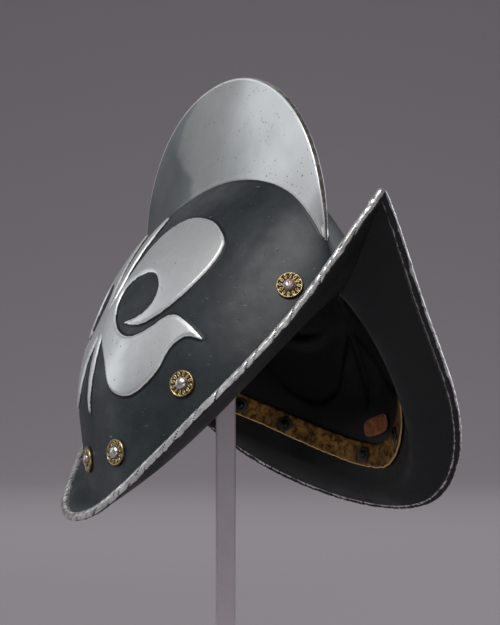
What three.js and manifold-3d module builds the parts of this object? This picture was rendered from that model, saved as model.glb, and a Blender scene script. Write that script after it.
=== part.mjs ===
// Morion helmet with a tall comb and two pointed peaks, on a plain display stand.
// Millimetres, +Z up, the front peak towards -Y. The origin is the middle of the stand's foot.
import * as THREE from 'three';
import { mergeVertices } from 'three/addons/utils/BufferGeometryUtils.js';
import Module from 'manifold-3d';

const wasm = await Module();
wasm.setup();

// Plate
const sheet = 1.5;
const fitGap = 0.3;
const rimRadius = 2.4;

// Brim, measured from the level of its two lowest side edges
const brimHalfWidth = 116.5;
const frontPeakReach = 177;
const rearPeakReach = 165;
const frontPeakRise = 145;
const rearPeakRise = 169;

// Bowl
const bowlHalfWidth = 99;
const bowlFrontReach = 125.5;
const bowlRearReach = 119;
const bowlSetBack = 9;
const bowlWallTop = 70;
const bowlCrownHeight = 201;
const bowlRoundness = 1.8;
const bowlNoseRoundness = 1.3;
const crownRoundAcross = 1.55;
const crownRoundFront = 3.05;
const crownRoundRear = 2.2;

// Line where the bowl bends out into the brim
const bendSideHeight = 14;
const bendFrontHeight = 104;
const bendRearHeight = 91;
const bendFrontSweep = 2.5;
const bendRearSweep = 1.8;
const bendDepth = 8;

// Comb
const combHalfLength = 111.5;
const combHalfHeight = 101.5;
const combCentreHeight = 162;
const combForward = 3;
const combRoundness = 2.1;
const combEdgeThickness = 4;
const combRootThickness = 8;
const combRootFillet = 7;
const combKeelShare = 0.9;
const combHollowTop = 0.8;
const combHollowSlit = 0.6;
const combHollowSetIn = 0.16;

// Embossed lily on each flank
const lilyRelief = 2;
const lilyReverseDepth = 0.8;
const lilyHalfWidth = 90;
const lilyHeight = 130;
const lilyFootHeight = 66;
const lilySetBack = 21;
const lilyLean = 8;

// Lining band and its rivets
const lineSideHeight = 31.5;
const lineFrontHeight = 125;
const lineRearHeight = 110;
const lineSweep = 1.75;
const bandHalfWidth = 8;
const bandThickness = 1.5;
const bandStandOff = 1.1;
const rivetShankRadius = 1.6;
const rivetHeadRadius = 3.8;
const rivetHeadHeight = 2.4;
const clenchRadius = 2.6;
const clenchHeight = 1;
const rosetteRadius = 8;
const rosetteThickness = 1.2;
const rosetteRimHeight = 0.6;
const innerWasherRadius = 4.7;
const innerWasherThickness = 0.8;
const tightestWallRadius = 30;

// Leather patch inside the wearer's left flank
const patchLength = 26;
const patchWidth = 12;
const patchThickness = 1.2;
const patchTurn = 92;
const patchHeight = 51;

// Stand
const helmetLift = 200;
const helmetPitch = 14.6;
const postBehindHelmetCentre = 47;
const postWidth = 12.5;
const postCorner = 1.8;
const postTurn = -30;
const padRadius = 32;
const padDepth = 26;
const footRadius = 90;
const footThickness = 10;

// Facets
const turnSteps = 40;
const brimSteps = 3;
const bowlSteps = 6;
const bowlStepGrowth = 1.4;
const rimSteps = 72;
const rimSides = 5;
const combSteps = 20;
const combHollowSteps = 11;
const combFilletSteps = 2;
const rosetteSides = 10;
const rivetSides = 8;
const patchSides = 20;
const padSides = 32;
const footSides = 48;
const halvings = 40;
const smallTurn = 0.01;

// Control points of the brim's edge from the side to each peak, as shares of
// the half-width, of the peak's reach and of the peak's rise.
const frontEdge = [
  { out: 1, along: 0, rise: 0 },
  { out: 1, along: 0.33, rise: 0 },
  { out: 0.75, along: 0.64, rise: 0.38 },
  { out: 0.38, along: 0.69, rise: 0.44 },
  { out: 0.31, along: 0.84, rise: 0.69 },
  { out: 0, along: 1, rise: 1 },
];
const rearEdge = [
  { out: 1, along: 0, rise: 0 },
  { out: 1, along: 0.39, rise: 0 },
  { out: 0.68, along: 0.69, rise: 0.25 },
  { out: 0.34, along: 0.74, rise: 0.35 },
  { out: 0.3, along: 0.87, rise: 0.59 },
  { out: 0, along: 1, rise: 1 },
];

// Angles of the rivets from the front peak, round the wearer's right and left.
const rivetTurns = [
  { right: 25, left: 25 },
  { right: 57, left: 54 },
  { right: 82, left: 76 },
  { right: 105, left: 101 },
  { right: 137, left: 130 },
  { right: 160, left: 144 },
];

// Half of the lily, from the tip of its middle petal to the tip of its middle foot.
// Shares of the half-width and of the height; a corner ends one smooth stretch.
const lilyHalf = [
  { out: 0, up: 1, corner: true },
  { out: 0.09, up: 0.92, corner: false },
  { out: 0.11, up: 0.82, corner: false },
  { out: 0.08, up: 0.7, corner: false },
  { out: 0.04, up: 0.58, corner: false },
  { out: 0.02, up: 0.47, corner: true },
  { out: 0.08, up: 0.58, corner: false },
  { out: 0.19, up: 0.78, corner: false },
  { out: 0.385, up: 0.85, corner: false },
  { out: 0.64, up: 0.82, corner: false },
  { out: 0.82, up: 0.73, corner: false },
  { out: 0.855, up: 0.65, corner: false },
  { out: 0.79, up: 0.54, corner: false },
  { out: 0.645, up: 0.43, corner: false },
  { out: 0.465, up: 0.365, corner: false },
  { out: 0.28, up: 0.38, corner: true },
  { out: 0.405, up: 0.4, corner: false },
  { out: 0.495, up: 0.45, corner: false },
  { out: 0.495, up: 0.53, corner: false },
  { out: 0.4, up: 0.6, corner: false },
  { out: 0.27, up: 0.61, corner: false },
  { out: 0.14, up: 0.57, corner: false },
  { out: 0.1, up: 0.5, corner: false },
  { out: 0.15, up: 0.41, corner: false },
  { out: 0.26, up: 0.34, corner: false },
  { out: 0.38, up: 0.31, corner: false },
  { out: 0.51, up: 0.325, corner: false },
  { out: 0.68, up: 0.385, corner: false },
  { out: 0.81, up: 0.34, corner: false },
  { out: 0.93, up: 0.255, corner: true },
  { out: 0.825, up: 0.28, corner: false },
  { out: 0.735, up: 0.235, corner: false },
  { out: 0.65, up: 0.12, corner: false },
  { out: 0.47, up: 0.04, corner: false },
  { out: 0.29, up: 0.08, corner: false },
  { out: 0.17, up: 0.22, corner: false },
  { out: 0.03, up: 0.34, corner: true },
  { out: 0.05, up: 0.2, corner: false },
  { out: 0.03, up: 0.08, corner: false },
  { out: 0, up: -0.02, corner: true },
];

const blackPaint = new THREE.MeshStandardMaterial({ color: 0x3f474a, roughness: 0.45, metalness: 0.3 });
const brass = new THREE.MeshStandardMaterial({ color: 0xb59a58, roughness: 0.4, metalness: 0.9 });
const brightSteel = new THREE.MeshStandardMaterial({ color: 0xc0c4c2, roughness: 0.3, metalness: 1 });
const darkSteel = new THREE.MeshStandardMaterial({ color: 0x1d2022, roughness: 0.6, metalness: 0.5 });
const liningLeather = new THREE.MeshStandardMaterial({ color: 0x8a6a34, roughness: 0.8, metalness: 0 });
const patchLeather = new THREE.MeshStandardMaterial({ color: 0x7a4a30, roughness: 0.7, metalness: 0 });
const greyPaint = new THREE.MeshStandardMaterial({ color: 0x77717a, roughness: 0.6, metalness: 0.1 });

const radians = THREE.MathUtils.degToRad;
const upward = new THREE.Vector3(0, 0, 1);

// Point on a curve of any degree through its first and last control point.
function curvePoint(controls, share) {
  let points = controls.map((point) => point.clone());
  while (points.length > 1) {
    points = points.slice(1).map((point, index) => points[index].clone().lerp(point, share));
  }
  return points[0];
}

// The brim's edge at an angle from the front peak, round through the wearer's left side.
function edgePoint(turn) {
  const across = Math.sin(turn);
  const ahead = Math.cos(turn) >= 0;
  const reach = ahead ? -frontPeakReach : rearPeakReach;
  const rise = ahead ? frontPeakRise : rearPeakRise;
  const side = across >= 0 ? 1 : -1;
  const fromSide = Math.acos(Math.min(1, Math.abs(across))) / (Math.PI / 2);
  const controls = (ahead ? frontEdge : rearEdge).map(
    (row) => new THREE.Vector3(side * row.out * brimHalfWidth, row.along * reach, row.rise * rise),
  );
  return curvePoint(controls, fromSide);
}

// Height of the bend between bowl and brim.
function bendHeight(turn) {
  const ahead = Math.cos(turn) >= 0;
  const end = ahead ? bendFrontHeight : bendRearHeight;
  const sweep = ahead ? bendFrontSweep : bendRearSweep;
  return bendSideHeight + (end - bendSideHeight) * Math.abs(Math.cos(turn)) ** sweep;
}

// Height of the line of the rivets, along the middle of the lining band.
function lineHeight(turn) {
  const end = Math.cos(turn) >= 0 ? lineFrontHeight : lineRearHeight;
  return lineSideHeight + (end - lineSideHeight) * Math.abs(Math.cos(turn)) ** lineSweep;
}

// The front or rear half of the bowl at a height: what is left of its half-width and
// reach, and how round its plan is. The front runs out to a keel.
function bowlHalf(ahead, height) {
  const climb = (height - bowlWallTop) / (bowlCrownHeight - bowlWallTop);
  const share = THREE.MathUtils.clamp(climb, 0, 1);
  const crownRoundAlong = ahead ? crownRoundFront : crownRoundRear;
  return {
    halfWidth: bowlHalfWidth * (1 - share ** crownRoundAcross) ** (1 / crownRoundAcross),
    reach: (ahead ? bowlFrontReach : bowlRearReach)
      * (1 - share ** crownRoundAlong) ** (1 / crownRoundAlong),
    roundAcross: ahead ? bowlNoseRoundness : bowlRoundness,
    roundAlong: bowlRoundness,
  };
}

function bowlPoint(turn, height) {
  const sine = Math.sin(turn);
  const cosine = Math.cos(turn);
  const half = bowlHalf(cosine >= 0, height);
  return new THREE.Vector3(
    half.halfWidth * Math.sign(sine) * Math.abs(sine) ** (2 / half.roundAcross),
    bowlSetBack - half.reach * Math.sign(cosine) * Math.abs(cosine) ** (2 / half.roundAlong),
    height,
  );
}

// The skin from the brim's edge, at 0, through the bend, at 1, to the crown, at 2.
function skinPoint(turn, climb) {
  const bend = bendHeight(turn);
  if (climb >= 1) {
    const share = Math.sin((climb - 1) * Math.PI / 2);
    return bowlPoint(turn, bend + (bowlCrownHeight - bend) * share);
  }
  const base = bowlPoint(turn, bend);
  const below = base.clone().addScaledVector(upward, -bendDepth);
  return curvePoint([edgePoint(turn), below, base], climb);
}

// The same skin moved out along its normal, or in for a negative distance.
function offsetPoint(turn, climb, distance) {
  const low = Math.max(climb - smallTurn, 0);
  const high = Math.min(climb + smallTurn, 2 - smallTurn);
  const round = skinPoint(turn + smallTurn, climb).sub(skinPoint(turn - smallTurn, climb));
  const rising = skinPoint(turn, high).sub(skinPoint(turn, low));
  const normal = round.cross(rising).normalize();
  return skinPoint(turn, climb).addScaledVector(normal, distance);
}

function ring(climb, distance) {
  return Array.from({ length: turnSteps }, (_, index) => (
    offsetPoint((index / turnSteps) * 2 * Math.PI, climb, distance)
  ));
}

// Closed mesh through rings with as many points each. Poles close its ends,
// and with no poles the last ring joins the first. Each quad is split along its
// shorter diagonal, so that skins at different distances keep the same folds.
function loft(rings, firstPole, lastPole) {
  const points = rings.flat();
  const triangles = [];
  const count = rings[0].length;
  const bands = firstPole ? rings.length - 1 : rings.length;
  for (let row = 0; row < bands; row += 1) {
    const above = ((row + 1) % rings.length) * count;
    for (let index = 0; index < count; index += 1) {
      const next = (index + 1) % count;
      const a = row * count + index;
      const b = row * count + next;
      const c = above + next;
      const d = above + index;
      if (points[a].distanceTo(points[c]) <= points[b].distanceTo(points[d])) {
        triangles.push(a, b, c, a, c, d);
      } else {
        triangles.push(a, b, d, b, c, d);
      }
    }
  }
  const positions = points.flatMap((point) => point.toArray());
  if (firstPole) {
    const first = rings.length * count;
    const lastRow = (rings.length - 1) * count;
    positions.push(firstPole.x, firstPole.y, firstPole.z, lastPole.x, lastPole.y, lastPole.z);
    for (let index = 0; index < count; index += 1) {
      const next = (index + 1) % count;
      triangles.push(next, index, first);
      triangles.push(lastRow + index, lastRow + next, first + 1);
    }
  }
  const geometry = new THREE.BufferGeometry();
  geometry.setAttribute('position', new THREE.Float32BufferAttribute(positions, 3));
  geometry.setIndex(triangles);
  return geometry;
}

function middleOf(points) {
  const sum = points.reduce((total, point) => total.add(point), new THREE.Vector3());
  return sum.divideScalar(points.length);
}

function toSolid(geometry) {
  const bare = geometry.clone();
  bare.deleteAttribute('normal');
  bare.deleteAttribute('uv');
  const merged = mergeVertices(bare, 1e-4);
  const mesh = new wasm.Mesh({
    numProp: 3,
    vertProperties: new Float32Array(merged.attributes.position.array),
    triVerts: new Uint32Array(merged.index.array),
  });
  return new wasm.Manifold(mesh);
}

function toGeometry(solid) {
  const mesh = solid.getMesh();
  const geometry = new THREE.BufferGeometry();
  geometry.setAttribute('position', new THREE.Float32BufferAttribute(mesh.vertProperties, 3));
  geometry.setIndex(Array.from(mesh.triVerts));
  return geometry;
}

function piece(name, geometry, material) {
  const mesh = new THREE.Mesh(geometry, material);
  mesh.name = name;
  return mesh;
}

// Climbs of the rings, closer together at the bend and towards the crown.
const brimClimbs = Array.from({ length: brimSteps }, (_, index) => index / brimSteps);
const bowlClimbs = Array.from({ length: bowlSteps }, (_, index) => (
  1 + (index / bowlSteps) ** bowlStepGrowth
));

function crownPole(distance) {
  return new THREE.Vector3(0, bowlSetBack, bowlCrownHeight + distance);
}

// Plate of the bowl and brim between two distances from the outer skin.
function plate(inner, outer, climbs) {
  const rising = climbs.map((climb) => ring(climb, outer));
  const falling = climbs.map((climb) => ring(climb, inner)).reverse();
  return loft([...falling, ...rising], crownPole(inner), crownPole(outer));
}

// Everything under a skin of the bowl, down to below the brim's side edges.
function cavity(distance) {
  const rings = bowlClimbs.map((climb) => ring(climb, distance));
  const floorHeight = -bendDepth;
  const skirt = rings[0].map((point) => new THREE.Vector3(point.x, point.y, floorHeight));
  return loft([skirt, ...rings], new THREE.Vector3(0, 0, floorHeight), crownPole(distance));
}

// Roll round the brim's edge.
function turnedRim() {
  const rings = Array.from({ length: rimSteps }, (_, index) => {
    const turn = (index / rimSteps) * 2 * Math.PI;
    const centre = edgePoint(turn);
    const inward = skinPoint(turn, 0.1).sub(centre).normalize();
    const tangent = edgePoint(turn + smallTurn).sub(edgePoint(turn - smallTurn)).normalize();
    const lift = new THREE.Vector3().crossVectors(inward, tangent).normalize();
    const out = new THREE.Vector3().crossVectors(lift, tangent).normalize();
    return Array.from({ length: rimSides }, (_, side) => {
      const angle = (side / rimSides) * 2 * Math.PI;
      return centre.clone()
        .addScaledVector(out, rimRadius * Math.cos(angle))
        .addScaledVector(lift, rimRadius * Math.sin(angle));
    });
  });
  return loft(rings);
}

// How far the bowl reaches from the comb's fan point along a direction in the middle plane.
const fanPoint = new THREE.Vector3(0, bowlSetBack, bowlWallTop);

function bowlReach(across, direction) {
  let inside = 0;
  let outside = bowlCrownHeight * 2;
  for (let step = 0; step < halvings; step += 1) {
    const middle = (inside + outside) / 2;
    const point = fanPoint.clone().addScaledVector(direction, middle);
    const half = bowlHalf(point.y <= bowlSetBack, point.z);
    const sum = Math.abs(across / (half.halfWidth + 1e-9)) ** half.roundAcross
      + Math.abs((point.y - bowlSetBack) / (half.reach + 1e-9)) ** half.roundAlong;
    if (sum < 1) {
      inside = middle;
    } else {
      outside = middle;
    }
  }
  return inside;
}

function combEdgePoint(angle) {
  const power = 2 / combRoundness;
  const cosine = Math.cos(angle);
  const sine = Math.sin(angle);
  return new THREE.Vector3(
    0,
    -combForward - combHalfLength * Math.sign(cosine) * Math.abs(cosine) ** power,
    combCentreHeight + combHalfHeight * Math.sign(sine) * Math.abs(sine) ** power,
  );
}

function combHeightAt(angle) {
  const arm = combEdgePoint(angle).sub(fanPoint);
  return arm.length() - bowlReach(0, arm.clone().normalize());
}

// Angle where the comb's edge dives into the bowl, between one above it and one below.
function combEnd(above, below) {
  let high = above;
  let low = below;
  for (let step = 0; step < halvings; step += 1) {
    const middle = (high + low) / 2;
    if (combHeightAt(middle) > -sheet / 2) {
      high = middle;
    } else {
      low = middle;
    }
  }
  return high;
}

const combFront = combEnd(Math.PI / 2, -Math.PI / 4);
const combRear = combEnd(Math.PI / 2, Math.PI * 1.25);

// Direction from the fan point to the comb's edge, with how far off the bowl and the edge lie.
function combArm(share) {
  const arm = combEdgePoint(THREE.MathUtils.lerp(combFront, combRear, share)).sub(fanPoint);
  const full = arm.length();
  const direction = arm.normalize();
  return { direction, full, root: bowlReach(0, direction) };
}

function onArm(direction, across, distance) {
  return fanPoint.clone().addScaledVector(direction, distance).setX(across);
}

// Comb, fanned out from the fan point. Its foot ends inside the plate.
function combOutside() {
  const rings = Array.from({ length: combSteps + 1 }, (_, index) => {
    const { direction, full, root } = combArm(index / combSteps);
    const fillet = THREE.MathUtils.clamp((full - root) / 2, sheet / 10, combRootFillet);
    const top = Math.max(full, root - sheet / 2);
    const foot = Math.min(root + fillet, top);
    const half = [[combEdgeThickness / 2, top], [combRootThickness / 2, foot]];
    for (let step = 1; step <= combFilletSteps; step += 1) {
      const angle = (step / combFilletSteps) * Math.PI / 2;
      const across = combRootThickness / 2 + fillet * (1 - Math.cos(angle));
      const above = fillet * (1 - Math.sin(angle));
      half.push([across, Math.min(bowlReach(across, direction) + above, foot)]);
    }
    const [across, rise] = half[half.length - 1];
    half.push([across, Math.min(rise, bowlReach(across, direction)) - sheet / 2]);
    const left = half.map(([x, distance]) => onArm(direction, x, distance));
    const right = half.map(([x, distance]) => onArm(direction, -x, distance)).reverse();
    const keel = onArm(direction, 0, root - sheet * combKeelShare);
    return [...left, keel, ...right];
  });
  return loft(rings, middleOf(rings[0]), middleOf(rings[combSteps]));
}

// Narrow hollow inside the comb, open to the bowl.
function combInside() {
  const rings = Array.from({ length: combHollowSteps + 1 }, (_, index) => {
    const share = THREE.MathUtils.lerp(combHollowSetIn, 1 - combHollowSetIn, index / combHollowSteps);
    const { direction, full, root } = combArm(share);
    const wide = combRootThickness / 2 - sheet;
    const half = [
      [combHollowSlit / 2, THREE.MathUtils.lerp(root, full, combHollowTop)],
      [wide, root],
      [wide, root - sheet * 2.5],
    ];
    const left = half.map(([x, distance]) => onArm(direction, x, distance));
    const right = half.map(([x, distance]) => onArm(direction, -x, distance)).reverse();
    return [...left, ...right];
  });
  return loft(rings, middleOf(rings[0]), middleOf(rings[combHollowSteps]));
}

// Lily outline in the side view, with smooth stretches between its corners.
function lilyOutline() {
  const stretches = [];
  let stretch = [];
  lilyHalf.forEach((row, index) => {
    stretch.push(new THREE.Vector2(row.out * lilyHalfWidth, row.up * lilyHeight));
    if (row.corner && index > 0) {
      stretches.push(stretch);
      stretch = [stretch[stretch.length - 1].clone()];
    }
  });
  const half = [];
  stretches.forEach((points) => {
    const curve = new THREE.SplineCurve(points);
    const steps = Math.max(2, points.length - 2);
    for (let step = 0; step < steps; step += 1) {
      half.push(curve.getPoint(step / steps));
    }
  });
  const tip = new THREE.Vector2(0, lilyHalf[lilyHalf.length - 1].up * lilyHeight);
  const other = half.slice(1).map((point) => new THREE.Vector2(-point.x, point.y)).reverse();
  return [...half, tip, ...other];
}

// The same shape on the other side of the middle plane.
function mirrored(geometry) {
  const other = geometry.clone();
  const positions = other.attributes.position;
  const order = [0, 2, 1];
  const flipped = [];
  for (let at = 0; at < positions.count; at += 3) {
    order.forEach((corner) => {
      flipped.push(-positions.getX(at + corner), positions.getY(at + corner), positions.getZ(at + corner));
    });
  }
  other.setAttribute('position', new THREE.Float32BufferAttribute(flipped, 3));
  return other;
}

// Lily as a bar through one flank, leaning forward with the helmet's sweep.
function lilyBar(side) {
  const lean = radians(lilyLean);
  const shape = new THREE.Shape(lilyOutline().map((point) => new THREE.Vector2(
    -(point.x * Math.cos(lean) + point.y * Math.sin(lean)) + lilySetBack,
    point.y * Math.cos(lean) - point.x * Math.sin(lean) + lilyFootHeight,
  )));
  const start = combRootThickness;
  const bar = new THREE.ExtrudeGeometry(shape, { depth: brimHalfWidth - start, bevelEnabled: false });
  bar.translate(0, 0, start);
  const standing = new THREE.Matrix4().makeBasis(
    new THREE.Vector3(0, 1, 0),
    new THREE.Vector3(0, 0, 1),
    new THREE.Vector3(1, 0, 0),
  );
  bar.applyMatrix4(standing);
  return side > 0 ? bar : mirrored(bar);
}

// Place and outward direction of a point on the bowl's outside.
function wallFrame(turn, height) {
  const bend = bendHeight(turn);
  const share = (height - bend) / (bowlCrownHeight - bend);
  const climb = 1 + Math.asin(share) / (Math.PI / 2);
  const place = skinPoint(turn, climb);
  const normal = offsetPoint(turn, climb, 1).sub(place).normalize();
  return { place, normal };
}

function rivetFrames() {
  const frames = [];
  rivetTurns.forEach((row, index) => {
    const left = radians(row.left);
    const right = -radians(row.right);
    frames.push({ name: `left_${index + 1}`, ...wallFrame(left, lineHeight(left)) });
    frames.push({ name: `right_${index + 1}`, ...wallFrame(right, lineHeight(right)) });
  });
  return frames;
}

function stand(mesh, frame, distance) {
  mesh.quaternion.setFromUnitVectors(upward, frame.normal);
  mesh.position.copy(frame.place).addScaledVector(frame.normal, distance);
  return mesh;
}

// Rod through the wall at each rivet, for cutting its hole.
function rivetRods() {
  const radius = rivetShankRadius + fitGap;
  const length = bandHalfWidth * 3;
  return rivetFrames().map((frame) => {
    const rod = new THREE.CylinderGeometry(radius, radius, length, rivetSides);
    rod.rotateX(Math.PI / 2);
    const carrier = stand(new THREE.Mesh(rod), frame, 0);
    carrier.updateMatrix();
    return rod.applyMatrix4(carrier.matrix);
  });
}

const climbs = [...brimClimbs, ...bowlClimbs];

function skull() {
  let body = toSolid(plate(-sheet, 0, climbs)).add(toSolid(turnedRim()));
  body = body.add(toSolid(combOutside())).subtract(toSolid(combInside()));
  const raised = toSolid(plate((lilyReverseDepth - sheet) / 2, lilyRelief, bowlClimbs));
  const sunk = toSolid(plate(-sheet * 2, lilyReverseDepth - sheet, bowlClimbs));
  [1, -1].forEach((side) => {
    body = body.add(raised.intersect(toSolid(lilyBar(side))));
    body = body.subtract(sunk.intersect(toSolid(lilyBar(side))));
  });
  rivetRods().forEach((rod) => {
    body = body.subtract(toSolid(rod));
  });
  return piece('skull', toGeometry(body), blackPaint);
}

// Strip of leather inside the bowl, on the line of the rivets.
function liningBand() {
  const outside = -sheet - bandStandOff;
  const inside = outside - bandThickness;
  const corner = (turn, height, distance) => {
    const frame = wallFrame(turn, height);
    return frame.place.addScaledVector(frame.normal, distance);
  };
  const rings = Array.from({ length: turnSteps }, (_, index) => {
    const turn = (index / turnSteps) * 2 * Math.PI;
    const low = lineHeight(turn) - bandHalfWidth;
    const high = lineHeight(turn) + bandHalfWidth;
    return [
      corner(turn, low, inside),
      corner(turn, high, inside),
      corner(turn, high, outside),
      corner(turn, low, outside),
    ];
  });
  let band = toSolid(loft(rings));
  rivetRods().forEach((rod) => {
    band = band.subtract(toSolid(rod));
  });
  return piece('lining_band', toGeometry(band), liningLeather);
}

function lathe(profile, sides) {
  const points = profile.map(([radius, height]) => new THREE.Vector2(radius, height));
  const geometry = new THREE.LatheGeometry(points, sides);
  geometry.rotateX(Math.PI / 2);
  return geometry;
}

// Distances of the riveted stack from the bowl's outside, outward positive.
// Flat washers inside the hollow wall bear on their rims.
const rosetteSeat = fitGap;
const headSeat = rosetteSeat + rosetteThickness + fitGap;
const washerSeat = -sheet - bandStandOff - bandThickness - fitGap;
const washerSag = innerWasherRadius ** 2 / (2 * tightestWallRadius);
const washerEnd = washerSeat - washerSag - innerWasherThickness;
const clenchSeat = washerEnd - fitGap;

function rosette(frame) {
  const hole = rivetShankRadius + fitGap;
  const profile = [
    [hole, 0],
    [rosetteRadius, 0],
    [rosetteRadius, rosetteThickness],
    [rosetteRadius * 0.9, rosetteThickness + rosetteRimHeight],
    [hole, rosetteThickness],
    [hole, 0],
  ];
  const mesh = piece(`rosette_${frame.name}`, lathe(profile, rosetteSides), brass);
  return stand(mesh, frame, rosetteSeat);
}

function rivet(frame) {
  const bottom = clenchSeat - clenchHeight;
  const profile = [
    [0, bottom],
    [clenchRadius * 0.7, bottom],
    [clenchRadius, clenchSeat],
    [rivetShankRadius, clenchSeat],
    [rivetShankRadius, headSeat],
    [rivetHeadRadius, headSeat],
    [rivetHeadRadius * 0.7, headSeat + rivetHeadHeight * 0.7],
    [0, headSeat + rivetHeadHeight],
  ];
  return stand(piece(`rivet_${frame.name}`, lathe(profile, rivetSides), brightSteel), frame, 0);
}

function innerWasher(frame) {
  const hole = rivetShankRadius + fitGap;
  const profile = [
    [hole, 0],
    [innerWasherRadius, 0],
    [innerWasherRadius, innerWasherThickness],
    [hole, innerWasherThickness],
    [hole, 0],
  ];
  const mesh = piece(`inner_washer_${frame.name}`, lathe(profile, rivetSides), darkSteel);
  return stand(mesh, frame, washerEnd);
}

// Leather patch with rounded corners, bent to the inside of the wall.
function leatherPatch() {
  const squareness = 0.6;
  const start = radians(patchTurn);
  const before = wallFrame(start - smallTurn, patchHeight).place;
  const after = wallFrame(start + smallTurn, patchHeight).place;
  const turnPerLength = (2 * smallTurn) / before.distanceTo(after);
  const spot = (along, across, distance) => {
    const frame = wallFrame(start + along * turnPerLength, patchHeight + across);
    return frame.place.addScaledVector(frame.normal, distance);
  };
  const outline = (share, distance) => Array.from({ length: patchSides }, (_, index) => {
    const angle = (index / patchSides) * 2 * Math.PI;
    const square = (value) => Math.sign(value) * Math.abs(value) ** squareness;
    return spot(
      (patchLength / 2) * share * square(Math.cos(angle)),
      (patchWidth / 2) * share * square(Math.sin(angle)),
      distance,
    );
  });
  const back = -sheet - bandStandOff;
  const face = back - patchThickness;
  const rings = [outline(0.5, face), outline(1, face), outline(1, back), outline(0.5, back)];
  const geometry = loft(rings, spot(0, 0, face), spot(0, 0, back));
  return piece('leather_patch', geometry, patchLeather);
}

const helmet = new THREE.Group();
helmet.position.set(0, -postBehindHelmetCentre, helmetLift);
helmet.rotation.x = -radians(helmetPitch);
helmet.updateMatrix();
helmet.add(skull(), liningBand(), leatherPatch());
rivetFrames().forEach((frame) => {
  helmet.add(rosette(frame), rivet(frame), innerWasher(frame));
});

// Height above the floor at which the bowl's inside meets the post's axis.
function crownSeatHeight() {
  const inverse = helmet.matrix.clone().invert();
  const origin = new THREE.Vector3(0, 0, helmetLift).applyMatrix4(inverse);
  const direction = new THREE.Vector3(0, 0, 1).transformDirection(inverse);
  let low = 0;
  let high = bowlCrownHeight * 2;
  for (let step = 0; step < halvings; step += 1) {
    const middle = (low + high) / 2;
    const point = origin.clone().addScaledVector(direction, middle);
    const half = bowlHalf(point.y <= bowlSetBack, point.z);
    if (Math.abs(point.y - bowlSetBack) < half.reach) {
      low = middle;
    } else {
      high = middle;
    }
  }
  return helmetLift + low - sheet;
}

const padUnderside = crownSeatHeight() - padDepth;

function crownPad() {
  const height = padDepth * 2;
  const pillar = new THREE.CylinderGeometry(padRadius, padRadius, height, padSides);
  pillar.rotateX(Math.PI / 2);
  pillar.translate(0, 0, padUnderside + height / 2);
  const room = cavity(-sheet - fitGap).applyMatrix4(helmet.matrix);
  const pad = toSolid(pillar).intersect(toSolid(room));
  return piece('crown_pad', toGeometry(pad), greyPaint);
}

function post() {
  const half = postWidth / 2;
  const flat = half - postCorner;
  const shape = new THREE.Shape([
    [half, -flat],
    [half, flat],
    [flat, half],
    [-flat, half],
    [-half, flat],
    [-half, -flat],
    [-flat, -half],
    [flat, -half],
  ].map(([x, y]) => new THREE.Vector2(x, y)));
  const bottom = footThickness + fitGap;
  const depth = padUnderside - fitGap - bottom;
  const geometry = new THREE.ExtrudeGeometry(shape, { depth, bevelEnabled: false });
  const mesh = piece('post', geometry, greyPaint);
  mesh.rotation.z = radians(postTurn);
  mesh.position.z = bottom;
  return mesh;
}

function foot() {
  const geometry = new THREE.CylinderGeometry(footRadius, footRadius, footThickness, footSides);
  geometry.rotateX(Math.PI / 2);
  const mesh = piece('foot', geometry, greyPaint);
  mesh.position.z = footThickness / 2;
  return mesh;
}

const model = new THREE.Group();
model.add(helmet, crownPad(), post(), foot());

export default model;
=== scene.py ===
"""Morion helmet with a tall comb, two peaks and embossed lilies, tilted on a plain post.

The plate's outline and section follow named sizes in millimetres, in the helmet's own frame:
z is 0 at the level of the brim's two lowest side edges and the front peak points towards -Y.
"""

from __future__ import annotations

import logging
import math
from dataclasses import dataclass, field
from enum import Enum
from typing import Callable, Iterable, Union

import bpy
import numpy as np
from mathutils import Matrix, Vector, noise


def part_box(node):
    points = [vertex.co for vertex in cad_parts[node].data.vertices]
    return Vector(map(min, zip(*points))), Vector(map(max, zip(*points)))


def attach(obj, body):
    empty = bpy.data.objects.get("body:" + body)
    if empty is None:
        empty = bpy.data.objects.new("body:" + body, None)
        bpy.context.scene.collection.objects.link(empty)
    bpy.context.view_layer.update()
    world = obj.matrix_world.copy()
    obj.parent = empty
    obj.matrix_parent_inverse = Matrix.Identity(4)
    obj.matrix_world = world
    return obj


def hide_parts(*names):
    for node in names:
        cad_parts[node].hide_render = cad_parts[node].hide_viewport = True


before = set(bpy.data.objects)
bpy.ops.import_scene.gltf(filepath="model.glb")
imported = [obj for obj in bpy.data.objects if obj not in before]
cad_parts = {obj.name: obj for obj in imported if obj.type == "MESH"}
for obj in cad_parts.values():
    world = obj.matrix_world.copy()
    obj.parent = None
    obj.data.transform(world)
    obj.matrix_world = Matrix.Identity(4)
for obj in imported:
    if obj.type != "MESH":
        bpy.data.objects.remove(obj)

LOG = logging.getLogger("helmet")
MM = 0.001
Array = np.ndarray
Socket = bpy.types.NodeSocket
Value = Union[Socket, float, tuple]


class Side(Enum):
    """Flank of the helmet, as its wearer names it."""

    LEFT = 1
    RIGHT = -1


def smooth_step(low: float, high: float, value: Array) -> Array:
    """Rises smoothly from 0 at low to 1 at high.

    Args:
        low: where the rise starts.
        high: where it ends.
        value: what is tested.

    Returns:
        The share of the rise at each value.
    """
    share = np.clip((value - low) / (high - low), 0, 1)
    return share * share * (3 - 2 * share)


def uneven(points: Array, size: float, seed: float = 0.0) -> Array:
    """Smooth noise between -1 and 1 over a cloud of points.

    Args:
        points: places, one row each.
        size: how far apart its swells lie, in the points' unit.
        seed: shift that gives another pattern.

    Returns:
        One value for each point.
    """
    flat = points.reshape(-1, 3) / size + seed
    values = np.array([noise.noise(Vector(row)) for row in flat])
    return values.reshape(points.shape[:-1])


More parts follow.
